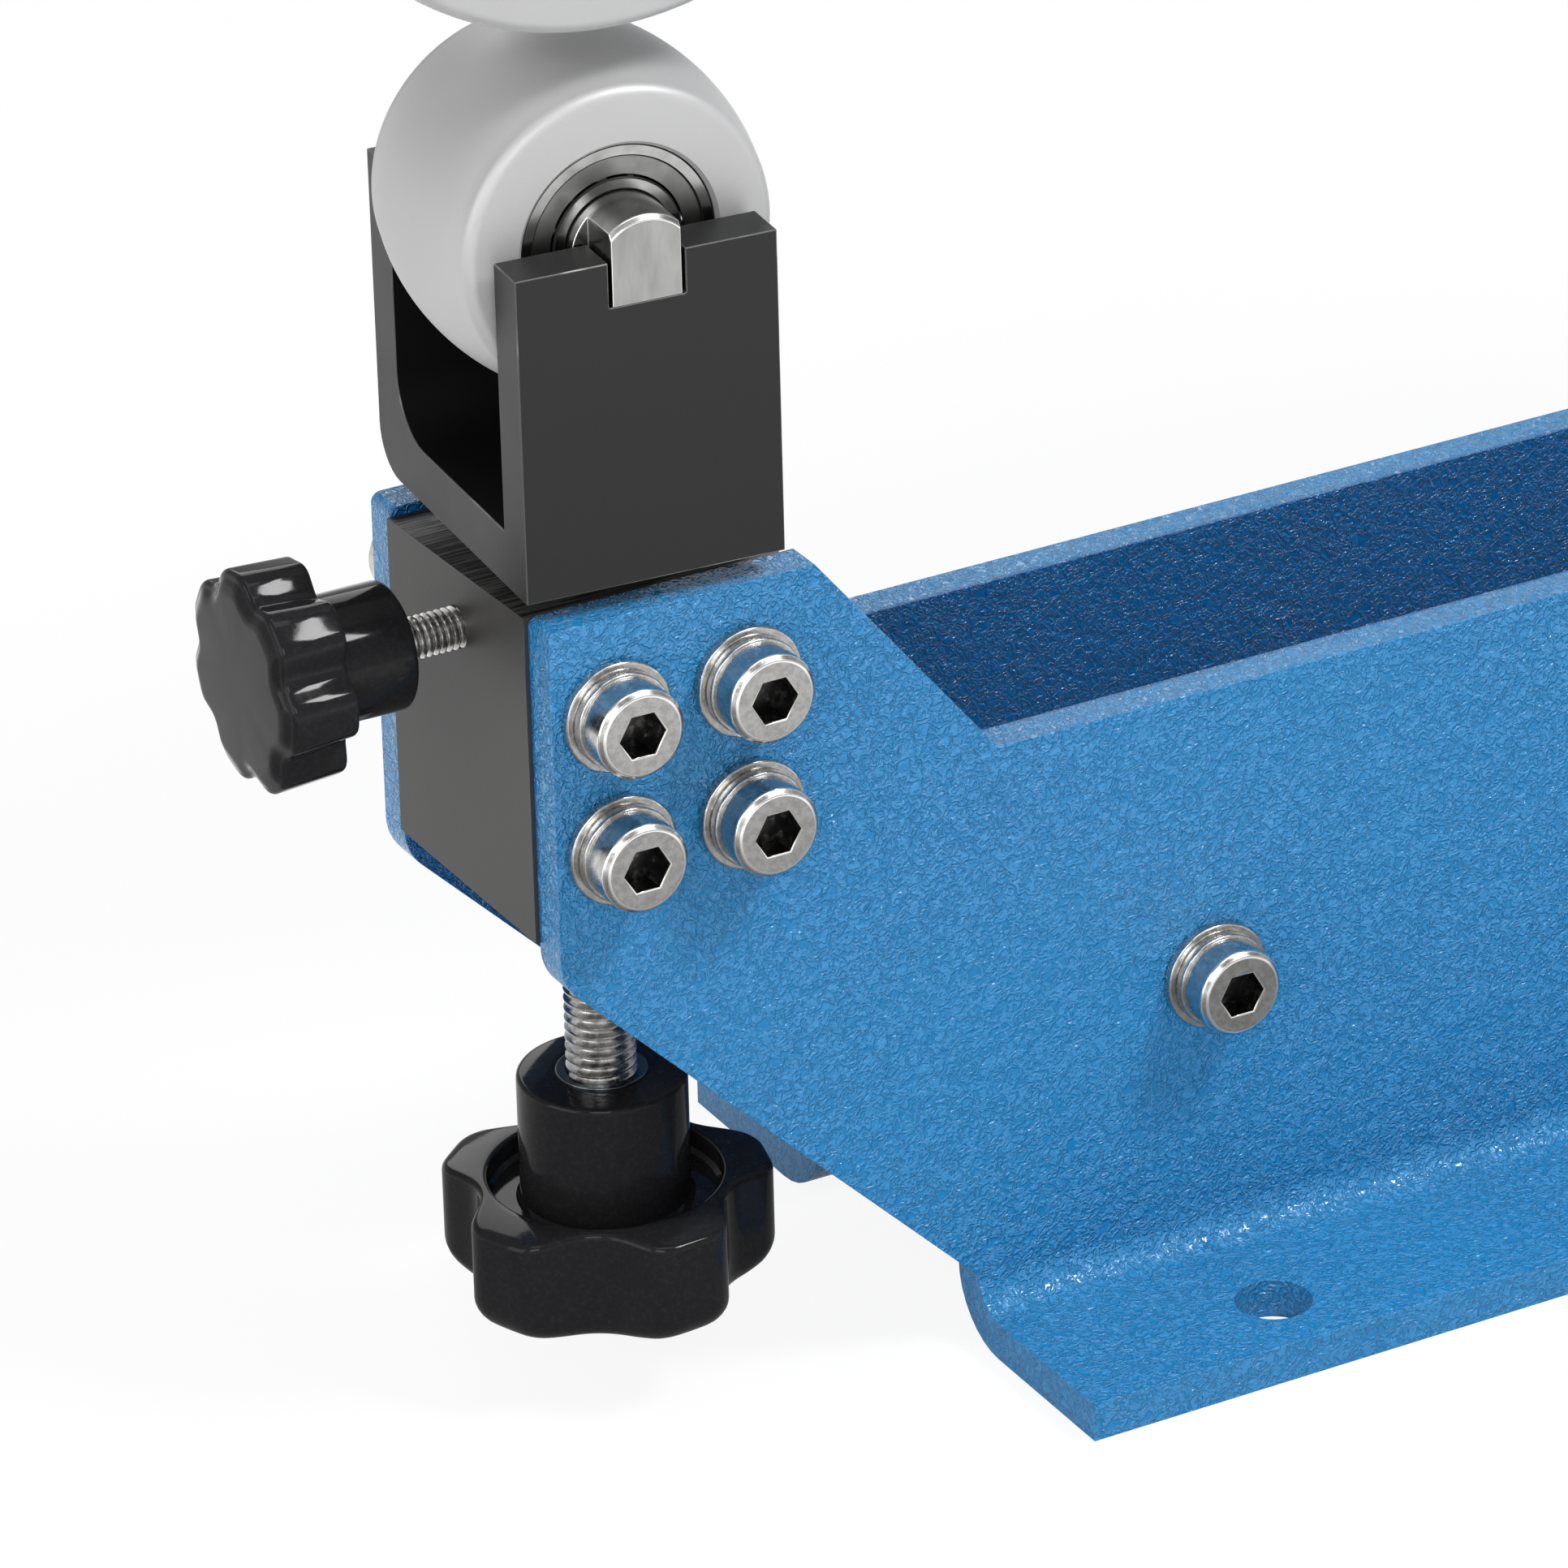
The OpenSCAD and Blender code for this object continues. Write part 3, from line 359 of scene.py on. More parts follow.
def zinc_screw():
    """Bright zinc plate on a rolled thread."""
    finish = Finish("zinc_thread", (0.72, 0.71, 0.70), roughness=0.22, metallic=1.0)
    streak = finish.noise(700, detail=3.0, rough=0.6)
    finish.tint(streak, 0.3, 0.7, (0.45, 0.44, 0.43), (0.85, 0.84, 0.82))
    finish.polish(streak, 0.16, 0.30)
    finish.bump(streak, 0.03 * MM, strength=0.4)
    return finish.material


def wheel_steel():
    """Hardened and polished wheel steel, almost without marks."""
    finish = Finish("polished_wheel", grey(0.46), roughness=0.50, metallic=0.35)
    cloud = finish.noise(30)
    finish.tint(cloud, 0.3, 0.7, grey(0.45), grey(0.48))
    finish.polish(cloud, 0.48, 0.52)
    return finish.material


def bearing_steel():
    """Ground bearing rings, greyer than the wheel."""
    finish = Finish("ground_bearing_steel", (0.50, 0.50, 0.495), roughness=0.22, metallic=1.0)
    finish.tint(finish.noise(260), 0.3, 0.7, (0.32, 0.32, 0.315), (0.44, 0.44, 0.435))
    return finish.material


def shield_steel():
    """Pressed bearing shields and cages in dark grey."""
    finish = Finish("pressed_shield", (0.24, 0.24, 0.235), roughness=0.34, metallic=1.0)
    finish.tint(finish.noise(300), 0.3, 0.7, (0.20, 0.20, 0.195), (0.28, 0.28, 0.275))
    return finish.material


def knob_plastic():
    """Glossy black phenolic, with the faint ripple of moulding."""
    finish = Finish("moulded_black_knob", (0.013, 0.013, 0.014), roughness=0.09, specular=0.12)
    dust = finish.noise(1500, detail=3.0, rough=0.7)
    finish.tint(dust, 0.45, 0.75, (0.012, 0.012, 0.013), (0.018, 0.018, 0.019))
    finish.polish(dust, 0.06, 0.11)
    finish.bump(finish.noise(160), 0.05 * MM, strength=0.4)
    return finish.material


def edge_painted_highlight():
    """Turned edges of the screws and the anvil axle, in a brighter steel than their faces: a painted
    highlight.
    """
    return Finish("edge_painted_highlight", (0.90, 0.89, 0.87), roughness=0.25, metallic=1.0).material


def yoke_inside_shade_finish():
    """Painted shade on the inside of the yoke: a blacker, duller black."""
    return Finish("yoke_inside_painted_shade", grey(0.003), roughness=0.6, specular=0.1).material


def gap_painted_shade_finish():
    """Painted shade for the gaps beside bearing rings, on the rings' rounded edges."""
    return Finish("bearing_gap_painted_shade", grey(0.012), roughness=0.4, specular=0.2).material


MAKERS = {
    "blue_paint": blue_paint,
    "black_block": black_block,
    "black_yoke": black_yoke,
    "black_screw": black_screw,
    "turned_steel": turned_steel,
    "stainless": stainless,
    "zinc_screw": zinc_screw,
    "insert_steel": insert_steel,
    "wheel_steel": wheel_steel,
    "bearing_steel": bearing_steel,
    "shield_steel": shield_steel,
    "knob_plastic": knob_plastic,
    "brass_pad": brass_pad,
}
FINISHES = {slot: make() for slot, make in MAKERS.items()}
WORN_EDGE = worn_edge()
# Painted highlight on the edges of screws and the anvil axle
EDGE_PAINTED_HIGHLIGHT = edge_painted_highlight()
# Painted shade: for the bearing gaps, the yoke's inside and the screw sockets
GAP_PAINTED_SHADE = gap_painted_shade_finish()
YOKE_INSIDE_SHADE = yoke_inside_shade_finish()
SOCKET_PAINTED_SHADE = socket_painted_shade()


def finish_cad_nodes():
    for name, node in NODES.items():
        node.data.materials[0] = FINISHES[SLOT_OF[name]]


# Meshes

SHARP_ANGLE = math.radians(32)
WELD = 0.002 * MM
SAME_PLACE = 0.01 * MM
FLAT_ANGLE = math.radians(0.4)
SOCKET_REACH = 3.9 * MM
SOCKET_DEEP = 3.8 * MM
FRONT_NORMAL_X = 0.9
DOWN_NORMAL_Z = -0.5
ROUND_STEPS = 6


def basis(axis):
    """Three unit vectors at right angles, the last one along the axis."""
    w = Vector(axis).normalized()
    u = w.orthogonal().normalized()
    return u, w.cross(u), w


def piece_from(name, bm, *nodes):
    """Turns a bmesh into a piece that stands for CAD nodes, and rides and is finished as the first one."""
    bmesh.ops.recalc_face_normals(bm, faces=bm.faces)
    mesh = bpy.data.meshes.new(name)
    bm.to_mesh(mesh)
    bm.free()
    for polygon in mesh.polygons:
        polygon.use_smooth = True
    mesh.set_sharp_from_angle(angle=SHARP_ANGLE)
    piece = bpy.data.objects.new(name, mesh)
    bpy.context.scene.collection.objects.link(piece)
    slot = SLOT_OF[nodes[0]]
    mesh.materials.append(FINISHES[slot])
    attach(piece, NODES[nodes[0]]["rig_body"])
    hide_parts(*nodes)
    return piece


def dressed(node, edge, segments=2, edge_finish=None, socket_deep=0.0):
    """A welded copy of a CAD node with its edges rounded by the width edge, and painted shade in its
    sockets.
    """
    bm = bmesh.new()
    corners = [bm.verts.new(vertex.co) for vertex in NODES[node].data.vertices]
    for polygon in NODES[node].data.polygons:
        bm.faces.new([corners[i] for i in polygon.vertices])
    bmesh.ops.remove_doubles(bm, verts=bm.verts, dist=WELD)
    bmesh.ops.dissolve_limit(
        bm, angle_limit=FLAT_ANGLE, use_dissolve_boundaries=False,
        verts=bm.verts, edges=bm.edges, delimit={"NORMAL"},
    )
    piece = piece_from(node + "_finished", bm, node)
    bevel = piece.modifiers.new("rounded_edges", "BEVEL")
    bevel.width = edge
    bevel.segments = segments
    bevel.limit_method = "WEIGHT"
    bevel.harden_normals = True
    bevel.miter_outer = "MITER_ARC"
    if edge_finish:
        piece.data.materials.append(edge_finish)
        bevel.material = 1
    # Painted shade in the sockets
    if socket_deep:
        piece.data.materials.append(SOCKET_PAINTED_SHADE)
        paint_shade_in_sockets(piece.data, socket_deep)
    weigh_edges(piece.data, len(piece.data.materials) - 1 if socket_deep else None)
    return piece


def weigh_edges(mesh, socket_index):
    """Marks the sharp edges for the bevel, but for those inside sockets."""
    bm = bmesh.new()
    bm.from_mesh(mesh)
    weight = bm.edges.layers.float.new("bevel_weight_edge")
    for edge in bm.edges:
        inside = all(face.material_index == socket_index for face in edge.link_faces)
        if len(edge.link_faces) == 2 and edge.calc_face_angle() > SHARP_ANGLE and not inside:
            edge[weight] = 1.0
    bm.to_mesh(mesh)
    bm.free()


def islands(bm):
    """The sets of faces that hang together."""
    unseen = set(bm.faces)
    while unseen:
        island = {unseen.pop()}
        front = list(island)
        while front:
            neighbours = {face for edge in front.pop().edges for face in edge.link_faces}
            fresh = neighbours & unseen
            unseen -= fresh
            island |= fresh
            front.extend(fresh)
        yield island


def paint_shade_in_sockets(mesh, socket_deep):
    """Gives the walls and floors of bolts' sockets the last material, a painted shade. The bolts lie along
    Y.
    """
    bm = bmesh.new()
    bm.from_mesh(mesh)
    for bolt in islands(bm):
        corners = [vertex.co for face in bolt for vertex in face.verts]
        x = (min(c.x for c in corners) + max(c.x for c in corners)) / 2
        z = (min(c.z for c in corners) + max(c.z for c in corners)) / 2
        side = math.copysign(1, sum(c.y for c in corners))
        outside = max(c.y * side for c in corners)
        for face in bolt:
            near_axis = all(math.hypot(v.co.x - x, v.co.z - z) < SOCKET_REACH for v in face.verts)
            in_head = all(v.co.y * side > outside - socket_deep - WELD for v in face.verts)
            if near_axis and in_head:
                face.material_index = len(mesh.materials) - 1
    bm.to_mesh(mesh)
    bm.free()


def paint_shade_in_yoke(yoke):
    """Gives the faces between the yoke's cheeks a darker black, a painted shade."""
    centre, axis = joint_line("anvil_spin")
    mesh = yoke.data
    across = [abs((vertex.co - centre).dot(axis)) for vertex in mesh.vertices]
    cheek_in = min(a for a, vertex in zip(across, mesh.vertices) if vertex.co.z > centre.z)
    mesh.materials.append(YOKE_INSIDE_SHADE)
    for polygon in mesh.polygons:
        between_cheeks = all(across[i] < cheek_in + WELD for i in polygon.vertices)
        faces_front = abs(polygon.normal.x) > FRONT_NORMAL_X
        faces_down = polygon.normal.z < DOWN_NORMAL_Z
        if between_cheeks and not faces_front and not faces_down:
            polygon.material_index = len(mesh.materials) - 1


Reach = namedtuple("Reach", "inner_r outer_r low high")


def joint_line(name):
    """A joint's place and its axis, as a unit vector."""
    joint = JOINTS[name]
    return Vector(joint["pos_m"]), Vector(joint["axis"]).normalized()


def away(spot, axis):
    """How far a spot lies from the axis."""
    return (spot - axis * spot.dot(axis)).length


def spots_from(node, centre):
    """The node's corners, as seen from the centre."""
    return [vertex.co - centre for vertex in NODES[node].data.vertices]


def reach(node, centre, axis):
    """How near and far a node lies from the axis, and from where to where along it."""
    spots = spots_from(node, centre)
    out = [away(spot, axis) for spot in spots]
    along = [spot.dot(axis) for spot in spots]
    return Reach(min(out), max(out), min(along), max(along))


def distinct(values):
    """The values in order, but for those that lie in the same place as the one before."""
    kept = []
    for value in sorted(values):
        if not kept or value - kept[-1] > SAME_PLACE:
            kept.append(value)
    return kept


def levels(node, centre, axis):
    """The places along the axis where a node has corners."""
    return distinct(spot.dot(axis) for spot in spots_from(node, centre))


def radii_at(node, centre, axis, place):
    """The distances from the axis of a node's corners at a place along it."""
    level = [spot for spot in spots_from(node, centre) if abs(spot.dot(axis) - place) < SAME_PLACE]
    return distinct(away(spot, axis) for spot in level)


def rounded(points, steps=ROUND_STEPS):
    """A closed outline of (x, y, radius) points with its corners rounded by arcs."""
    outline = []
    for i, (x, y, radius) in enumerate(points):
        corner = Vector((x, y))
        if radius <= 0:
            outline.append(corner)
            continue
        before = Vector(points[i - 1][:2]) - corner
        after = Vector(points[(i + 1) % len(points)][:2]) - corner
        before.normalize()
        after.normalize()
        half = before.angle(after) / 2
        centre = corner + (before + after).normalized() * (radius / math.sin(half))
        start = corner + before * (radius / math.tan(half)) - centre
        end = corner + after * (radius / math.tan(half)) - centre
        turn = math.atan2(start.cross(end), start.dot(end))
        for k in range(steps + 1):
            outline.append(centre + Matrix.Rotation(turn * k / steps, 2) @ start)
    return outline


def turned(name, outline, centre, axis, segments, *nodes):
    """A turned piece: a closed outline of (distance from the axis, place along it), swept round."""
    u, v, w = basis(axis)
    bm = bmesh.new()
    rings = []
    for k in range(segments):
        angle = 2 * math.pi * k / segments
        out = u * math.cos(angle) + v * math.sin(angle)
        rings.append([bm.verts.new(centre + out * p[0] + w * p[1]) for p in outline])
    for ring, following in zip(rings, rings[1:] + rings[:1]):
        for i in range(len(outline)):
            bm.faces.new((ring[i - 1], following[i - 1], following[i], ring[i]))
    return piece_from(name, bm, *nodes)


def lofted(name, rings, *nodes):
    """A closed skin over rings of equally many points, with a flat face at each end."""
    bm = bmesh.new()
    rows = [[bm.verts.new(point) for point in ring] for ring in rings]
    for row, following in zip(rows, rows[1:]):
        for i in range(len(row)):
            bm.faces.new((row[i - 1], row[i], following[i], following[i - 1]))
    bm.faces.new(rows[0])
    bm.faces.new(rows[-1])
    return piece_from(name, bm, *nodes)


# Wheels

CROWN_R = 50 * MM
CROWN_STEPS = 24
SHOULDER_R = 1.8 * MM
SHOULDER_STEPS = 10
ANVIL_SEGMENTS = 192
UPPER_SEGMENTS = 224
SEAT_BEVEL = 0.5 * MM
DISH_CORNER_R = 1.2 * MM
DISH_RIM_R = 0.4 * MM


def mirrored(points):
    """One side's points, turned over to the other side and in reverse order."""
    return [(r, -along, corner) for r, along, corner in reversed(points)]


def seat_outline(half_width, seat_r, seat_place, through_r):
    """The bore's outline from the near end face to the far one, with a bearing seat at each end."""
    near = [
        (seat_r + SEAT_BEVEL, half_width, 0),
        (seat_r, half_width - SEAT_BEVEL, 0),
        (seat_r, seat_place, 0),
        (through_r, seat_place, 0),
    ]
    return near + mirrored(near)


def crown_outline(tread_r, flank):
    """The crowned tread from one flank to the other."""
    places = [flank * (1 - 2 * k / CROWN_STEPS) for k in range(CROWN_STEPS + 1)]
    return [(tread_r - CROWN_R + math.sqrt(CROWN_R ** 2 - place ** 2), place, 0) for place in places]


def shoulder_outline(edge_r, flank):
    """The round shoulder from the side face up to the tread."""
    middle_r = edge_r - SHOULDER_R
    turns = [math.pi / 2 * k / SHOULDER_STEPS for k in range(SHOULDER_STEPS, 0, -1)]
    return [(middle_r + SHOULDER_R * math.cos(t), flank + SHOULDER_R * math.sin(t), 0) for t in turns]


def make_anvil_wheel():
    centre, axis = joint_line("anvil_spin")
    wheel = reach("anvil_wheel", centre, axis)
    seat_r = reach("anvil_bearing_outer_rings", centre, axis).outer_r
    spacer_end = reach("anvil_spacer", centre, axis).high
    flank = wheel.high - SHOULDER_R
    crown = crown_outline(wheel.outer_r, flank)
    shoulder = shoulder_outline(crown[0][0], flank)
    bore = seat_outline(wheel.high, seat_r, spacer_end, wheel.inner_r)
    outline = rounded(shoulder + crown + mirrored(shoulder) + bore[::-1])
    turned("anvil_wheel_polished", outline, centre, axis, ANVIL_SEGMENTS, "anvil_wheel")


def make_upper_wheel():
    centre, axis = joint_line("upper_spin")
    wheel = reach("upper_wheel", centre, axis)
    rings = "upper_bearing_outer_rings"
    seat_r = reach(rings, centre, axis).outer_r
    spacer_end = min(abs(spot.dot(axis)) for spot in spots_from(rings, centre))
    dish_inner_r, dish_outer_r, tread_edge_r = radii_at("upper_wheel", centre, axis, wheel.high)[1:]
    dish_spots = [
        spot for spot in spots_from("upper_wheel", centre)
        if dish_inner_r < away(spot, axis) < dish_outer_r and spot.dot(axis) > 0
    ]
    floor = min(spot.dot(axis) for spot in dish_spots)
    slope = wheel.high - floor
    side = [
        (dish_inner_r, wheel.high, DISH_RIM_R),
        (dish_inner_r + slope, floor, DISH_CORNER_R),
        (dish_outer_r - slope, floor, DISH_CORNER_R),
        (dish_outer_r, wheel.high, DISH_RIM_R),
        (wheel.outer_r, wheel.high, wheel.outer_r - tread_edge_r),
    ]
    bore = seat_outline(wheel.high, seat_r, spacer_end, wheel.inner_r)
    outline = rounded(side + mirrored(side) + bore[::-1])
    turned("upper_wheel_polished", outline, centre, axis, UPPER_SEGMENTS, "upper_wheel")


# Threads

# The thread's depth as a share of its pitch, and how far it stands out at even steps through one pitch
THREAD_DEPTH_SHARE = 0.61
THREAD_CREST_SHARES = (1.0, 1.0, 0.62, 0.16, 0.0, 0.0, 0.16, 0.62)
THREAD_STEPS = 40
THREAD_SPARE_TURNS = 2
MICROMETRE_DIGITS = 6


def pitch_of(node, centre, axis):
    """The pitch of a CAD thread, to the micrometre. Each of its rings has a crest with two edges."""
    crest_r = reach(node, centre, axis).outer_r - SAME_PLACE
    spots = [spot for spot in spots_from(node, centre) if away(spot, axis) > crest_r]
    edges = distinct(spot.dot(axis) for spot in spots)
    pitch = statistics.median(later - edge for edge, later in zip(edges, edges[2:]))
    return round(pitch, MICROMETRE_DIGITS)


def thread_grid(bm, node, centre, axis):
    """The corners of a helical thread, by step round the rod and row along it, and the number of rows."""
    u, v, w = basis(axis)
    rod = reach(node, centre, axis)
    pitch = pitch_of(node, centre, axis)
    rows_per_turn = len(THREAD_CREST_SHARES)
    rows = math.ceil((rod.high - rod.low) / pitch + THREAD_SPARE_TURNS) * rows_per_turn
    grid = {}
    for i in range(THREAD_STEPS):
        angle = 2 * math.pi * i / THREAD_STEPS
        out = u * math.cos(angle) + v * math.sin(angle)
        for j in range(rows + rows_per_turn + 1):
            place = rod.low + pitch * ((j + i * rows_per_turn / THREAD_STEPS) / rows_per_turn - 1)
            inside = rod.low < place < rod.high
            crest = THREAD_CREST_SHARES[j % rows_per_turn] if inside else 0.0
            radius = rod.outer_r - THREAD_DEPTH_SHARE * pitch * (1 - crest)
            grid[i, j] = bm.verts.new(centre + out * radius + w * min(max(place, rod.low), rod.high))
    return grid, rows


def threaded_rod(name, node, joint):
    """A rod with a true helical thread over its whole length."""
    centre, axis = joint_line(joint)
    bm = bmesh.new()
    grid, rows = thread_grid(bm, node, centre, axis)
    for i in range(THREAD_STEPS):
        for j in range(rows):
            following = (i + 1, j) if i + 1 < THREAD_STEPS else (0, j + len(THREAD_CREST_SHARES))
            above = (following[0], following[1] + 1)
            bm.faces.new((grid[i, j], grid[following], grid[above], grid[i, j + 1]))
    bmesh.ops.delete(bm, geom=[vertex for vertex in bm.verts if not vertex.link_faces], context="VERTS")
    bmesh.ops.remove_doubles(bm, verts=bm.verts, dist=WELD)
    bmesh.ops.holes_fill(bm, edges=[edge for edge in bm.edges if edge.is_boundary])
    return piece_from(name, bm, node)


# Knobs

RING_POINTS = 240
EDGE_STEPS = 4
RIM_STEPS = 3
FACE_STEPS = 6
HUB_EDGE_R = 0.8 * MM
HUB_CLEAR = 1.0 * MM


def star_outline(node, centre, axis, place, hub_r):
    """The star's outline at a place along the axis, as points at even angles round it."""
    u, v, w = basis(axis)
    level = [spot for spot in spots_from(node, centre) if abs(spot.dot(w) - place) < SAME_PLACE]
    corners = [Vector((spot.dot(u), spot.dot(v))) for spot in level]
    corners = [corner for corner in corners if corner.length > hub_r + HUB_CLEAR]
    corners.sort(key=lambda p: math.atan2(p.y, p.x))
    outline = []
    for k in range(RING_POINTS):
        angle = 2 * math.pi * (k + 0.5) / RING_POINTS - math.pi
        ray = Vector((math.cos(angle), math.sin(angle)))
        for p, q in zip(corners, corners[1:] + corners[:1]):
            side = q - p
            if side.length > WELD and ray.cross(p) <= 0 < ray.cross(q) and ray.dot(p) > 0:
                outline.append(ray * (p.cross(side) / ray.cross(side)))
                break
    return outline


def inset(outline, distance):
    """The outline moved inwards by a distance."""
    moved = []
    for i, point in enumerate(outline):
        along = (outline[(i + 1) % len(outline)] - outline[i - 1]).normalized()
        moved.append(point + Vector((-along.y, along.x)) * distance)
    return moved


def circle(outline, radius):
    """A circle with a point under each point of the outline."""
    return [point.normalized() * radius for point in outline]


def between(first, second, share):
    """The points a share of the way from one ring to the other."""
    return [p.lerp(q, share) for p, q in zip(first, second)]


def quarter(radius, steps=ROUND_STEPS):
    """(inward, along) steps of a quarter round, from its start on the side to its end on the face."""
    angles = [math.pi / 2 * k / steps for k in range(steps + 1)]
    return [(radius * (1 - math.cos(angle)), radius * math.sin(angle)) for angle in angles]


def levelled(ring, place):
    """The ring with its place along the axis, one for all its points or one for each."""
    places = place if isinstance(place, list) else [place] * len(ring)
    return [(p.x, p.y, along) for p, along in zip(ring, places)]


def in_space(rings, centre, axis):
    """Rings of (x, y, place along the axis), taken into the part's frame."""
    u, v, w = basis(axis)
    return [[centre + u * x + v * y + w * place for x, y, place in ring] for ring in rings]


LIFT_LOW_EDGE_R = 3.0 * MM
LIFT_TOP_EDGE_R = 0.9 * MM
LIFT_TOP_CROWN = 0.8 * MM
LIFT_LOW_CROWN = 2.0 * MM
LIFT_GROOVE_RIM_R = 0.6 * MM


def lift_star_rings(star, insert_r, groove_r, low, top):
    """The star's underside, out from the insert, then its side, and its top, in to the groove."""
    longest = max(point.length for point in star)

    def crowned(ring, place, drop):
        """The ring, dropped towards the tips of the lobes."""
        shares = [max(0.0, (point.length - groove_r) / (longest - groove_r)) for point in ring]
        return levelled(ring, [place - drop * share ** 2 for share in shares])

    bore = circle(star, insert_r)
    foot = inset(star, LIFT_LOW_EDGE_R)
    shoulder = inset(star, LIFT_TOP_EDGE_R)
    groove_rim = circle(star, groove_r + LIFT_GROOVE_RIM_R)
    shares = [k / FACE_STEPS for k in range(1, FACE_STEPS + 1)]
    rings = [crowned(between(bore, foot, share), low, -LIFT_LOW_CROWN) for share in shares]
    for inward, along in reversed(quarter(LIFT_LOW_EDGE_R)[:-1]):
        rings.append(crowned(inset(star, inward), low + LIFT_LOW_EDGE_R - along, -LIFT_LOW_CROWN))
    for inward, along in quarter(LIFT_TOP_EDGE_R, EDGE_STEPS):
        rings.append(crowned(inset(star, inward), top + along - LIFT_TOP_EDGE_R, LIFT_TOP_CROWN))
    return rings + [crowned(between(shoulder, groove_rim, share), top, LIFT_TOP_CROWN) for share in shares]


def lift_groove_rings(star, groove_r, hub_r, top, floor):
    """The groove between the star and the hub, from its rim to the foot of the hub."""
    rim = [
        (groove_r + LIFT_GROOVE_RIM_R - along, top - inward)
        for inward, along in quarter(LIFT_GROOVE_RIM_R, RIM_STEPS)[1:]
    ]
    corners = [
        (groove_r, floor + LIFT_GROOVE_RIM_R),
        (groove_r - LIFT_GROOVE_RIM_R, floor),
        (hub_r + LIFT_GROOVE_RIM_R, floor),
        (hub_r, floor + LIFT_GROOVE_RIM_R),
    ]
    return [levelled(circle(star, radius), place) for radius, place in rim + corners]


def make_lift_knob():
    centre, axis = joint_line("lift_turn")
    insert = reach("lift_knob_insert", centre, axis)
    low, groove_floor, star_top, top = levels("lift_knob", centre, axis)
    hub_r = radii_at("lift_knob", centre, axis, top)[-1]
    groove_r = radii_at("lift_knob", centre, axis, groove_floor)[-1]
    star = star_outline("lift_knob", centre, axis, low, hub_r)
    rings = lift_star_rings(star, insert.outer_r, groove_r, low, star_top)
    rings += lift_groove_rings(star, groove_r, hub_r, star_top, groove_floor)
    for inward, along in quarter(HUB_EDGE_R, EDGE_STEPS):
        rings.append(levelled(circle(star, hub_r - inward), top - HUB_EDGE_R + along))
    rings += [levelled(circle(star, insert.outer_r), place) for place in (top, star_top)]
    lofted("lift_knob_moulded", in_space(rings, centre, axis), "lift_knob")


CLAMP_EDGE_R = 0.9 * MM
CLAMP_RIM_BACK = 0.9 * MM
CLAMP_MIDDLE_R = 3 * MM
CLAMP_PILLOW_STEPS = 8

# How far the swell of the face reaches towards its middle, the star's size at the back over that at the
# front, and how far the front's hollows are filled towards a circle
CLAMP_PILLOW_SHARE = 0.22
CLAMP_DRAFT = 0.975
CLAMP_FRONT_FILL = 0.35


def clamp_front_rings(star, front):
    """The star's front edge, and its face, which swells like a pillow from the rim to a flat middle."""
    rim = front - CLAMP_RIM_BACK
    rings = [
        levelled(inset(star, inward), rim - CLAMP_EDGE_R + along)
        for inward, along in quarter(CLAMP_EDGE_R, EDGE_STEPS)
    ]
    shoulder = inset(star, CLAMP_EDGE_R)
    middle = circle(star, CLAMP_MIDDLE_R)
    for k in range(1, CLAMP_PILLOW_STEPS + 1):
        share = k / CLAMP_PILLOW_STEPS * CLAMP_PILLOW_SHARE
        rise = math.sin(math.pi / 2 * k / CLAMP_PILLOW_STEPS)
        rings.append(levelled(between(shoulder, middle, share), rim + CLAMP_RIM_BACK * rise))
    return rings + [levelled(middle, front)]


def make_clamp_knob():
    centre, axis = joint_line("clamp_turn")
    knob = reach("clamp_knob", centre, axis)
    insert = reach("clamp_knob_insert", centre, axis)
    hub_r = radii_at("clamp_knob", centre, axis, knob.low)[-1]
    outline = star_outline("clamp_knob", centre, axis, knob.high, hub_r)
    narrow = [point * CLAMP_DRAFT for point in outline]
    longest = max(point.length for point in outline)
    star = between(outline, circle(outline, longest), CLAMP_FRONT_FILL)
    rings = [levelled(circle(star, insert.outer_r), place) for place in (insert.high, knob.low)]
    for inward, along in reversed(quarter(HUB_EDGE_R, EDGE_STEPS)):
        rings.append(levelled(circle(star, hub_r - inward), knob.low + HUB_EDGE_R - along))
    rings.append(levelled(circle(star, hub_r), insert.high))
    for inward, along in reversed(quarter(CLAMP_EDGE_R, EDGE_STEPS)):
        rings.append(levelled(inset(narrow, inward), insert.high + CLAMP_EDGE_R - along))
    rings += clamp_front_rings(star, knob.high)
    lofted("clamp_knob_moulded", in_space(rings, centre, axis), "clamp_knob")


# Stage and light

FLOOR_HALF = 6.0
FLOOR_WHITE = (0.92, 0.92, 0.92)
FLOOR_GLOW = 0.9

# How bright the floor and the world are in glossy surfaces, and the bands of Y where the floor changes
FRONT_FAR_Y, FRONT_NEAR_Y = -0.45, -0.06
BEHIND_NEAR_Y, BEHIND_FAR_Y = 0.0, 0.16
GLOSS_NEAR_PART = 0.28
GLOSS_IN_FRONT = 1.4
GLOSS_BEHIND = 1.1
GLOSS_OVERHEAD = 0.35
GLOSS_AT_HORIZON = 0.75
OVERHEAD_Z = 0.45
WORLD_LEVEL = 0.26


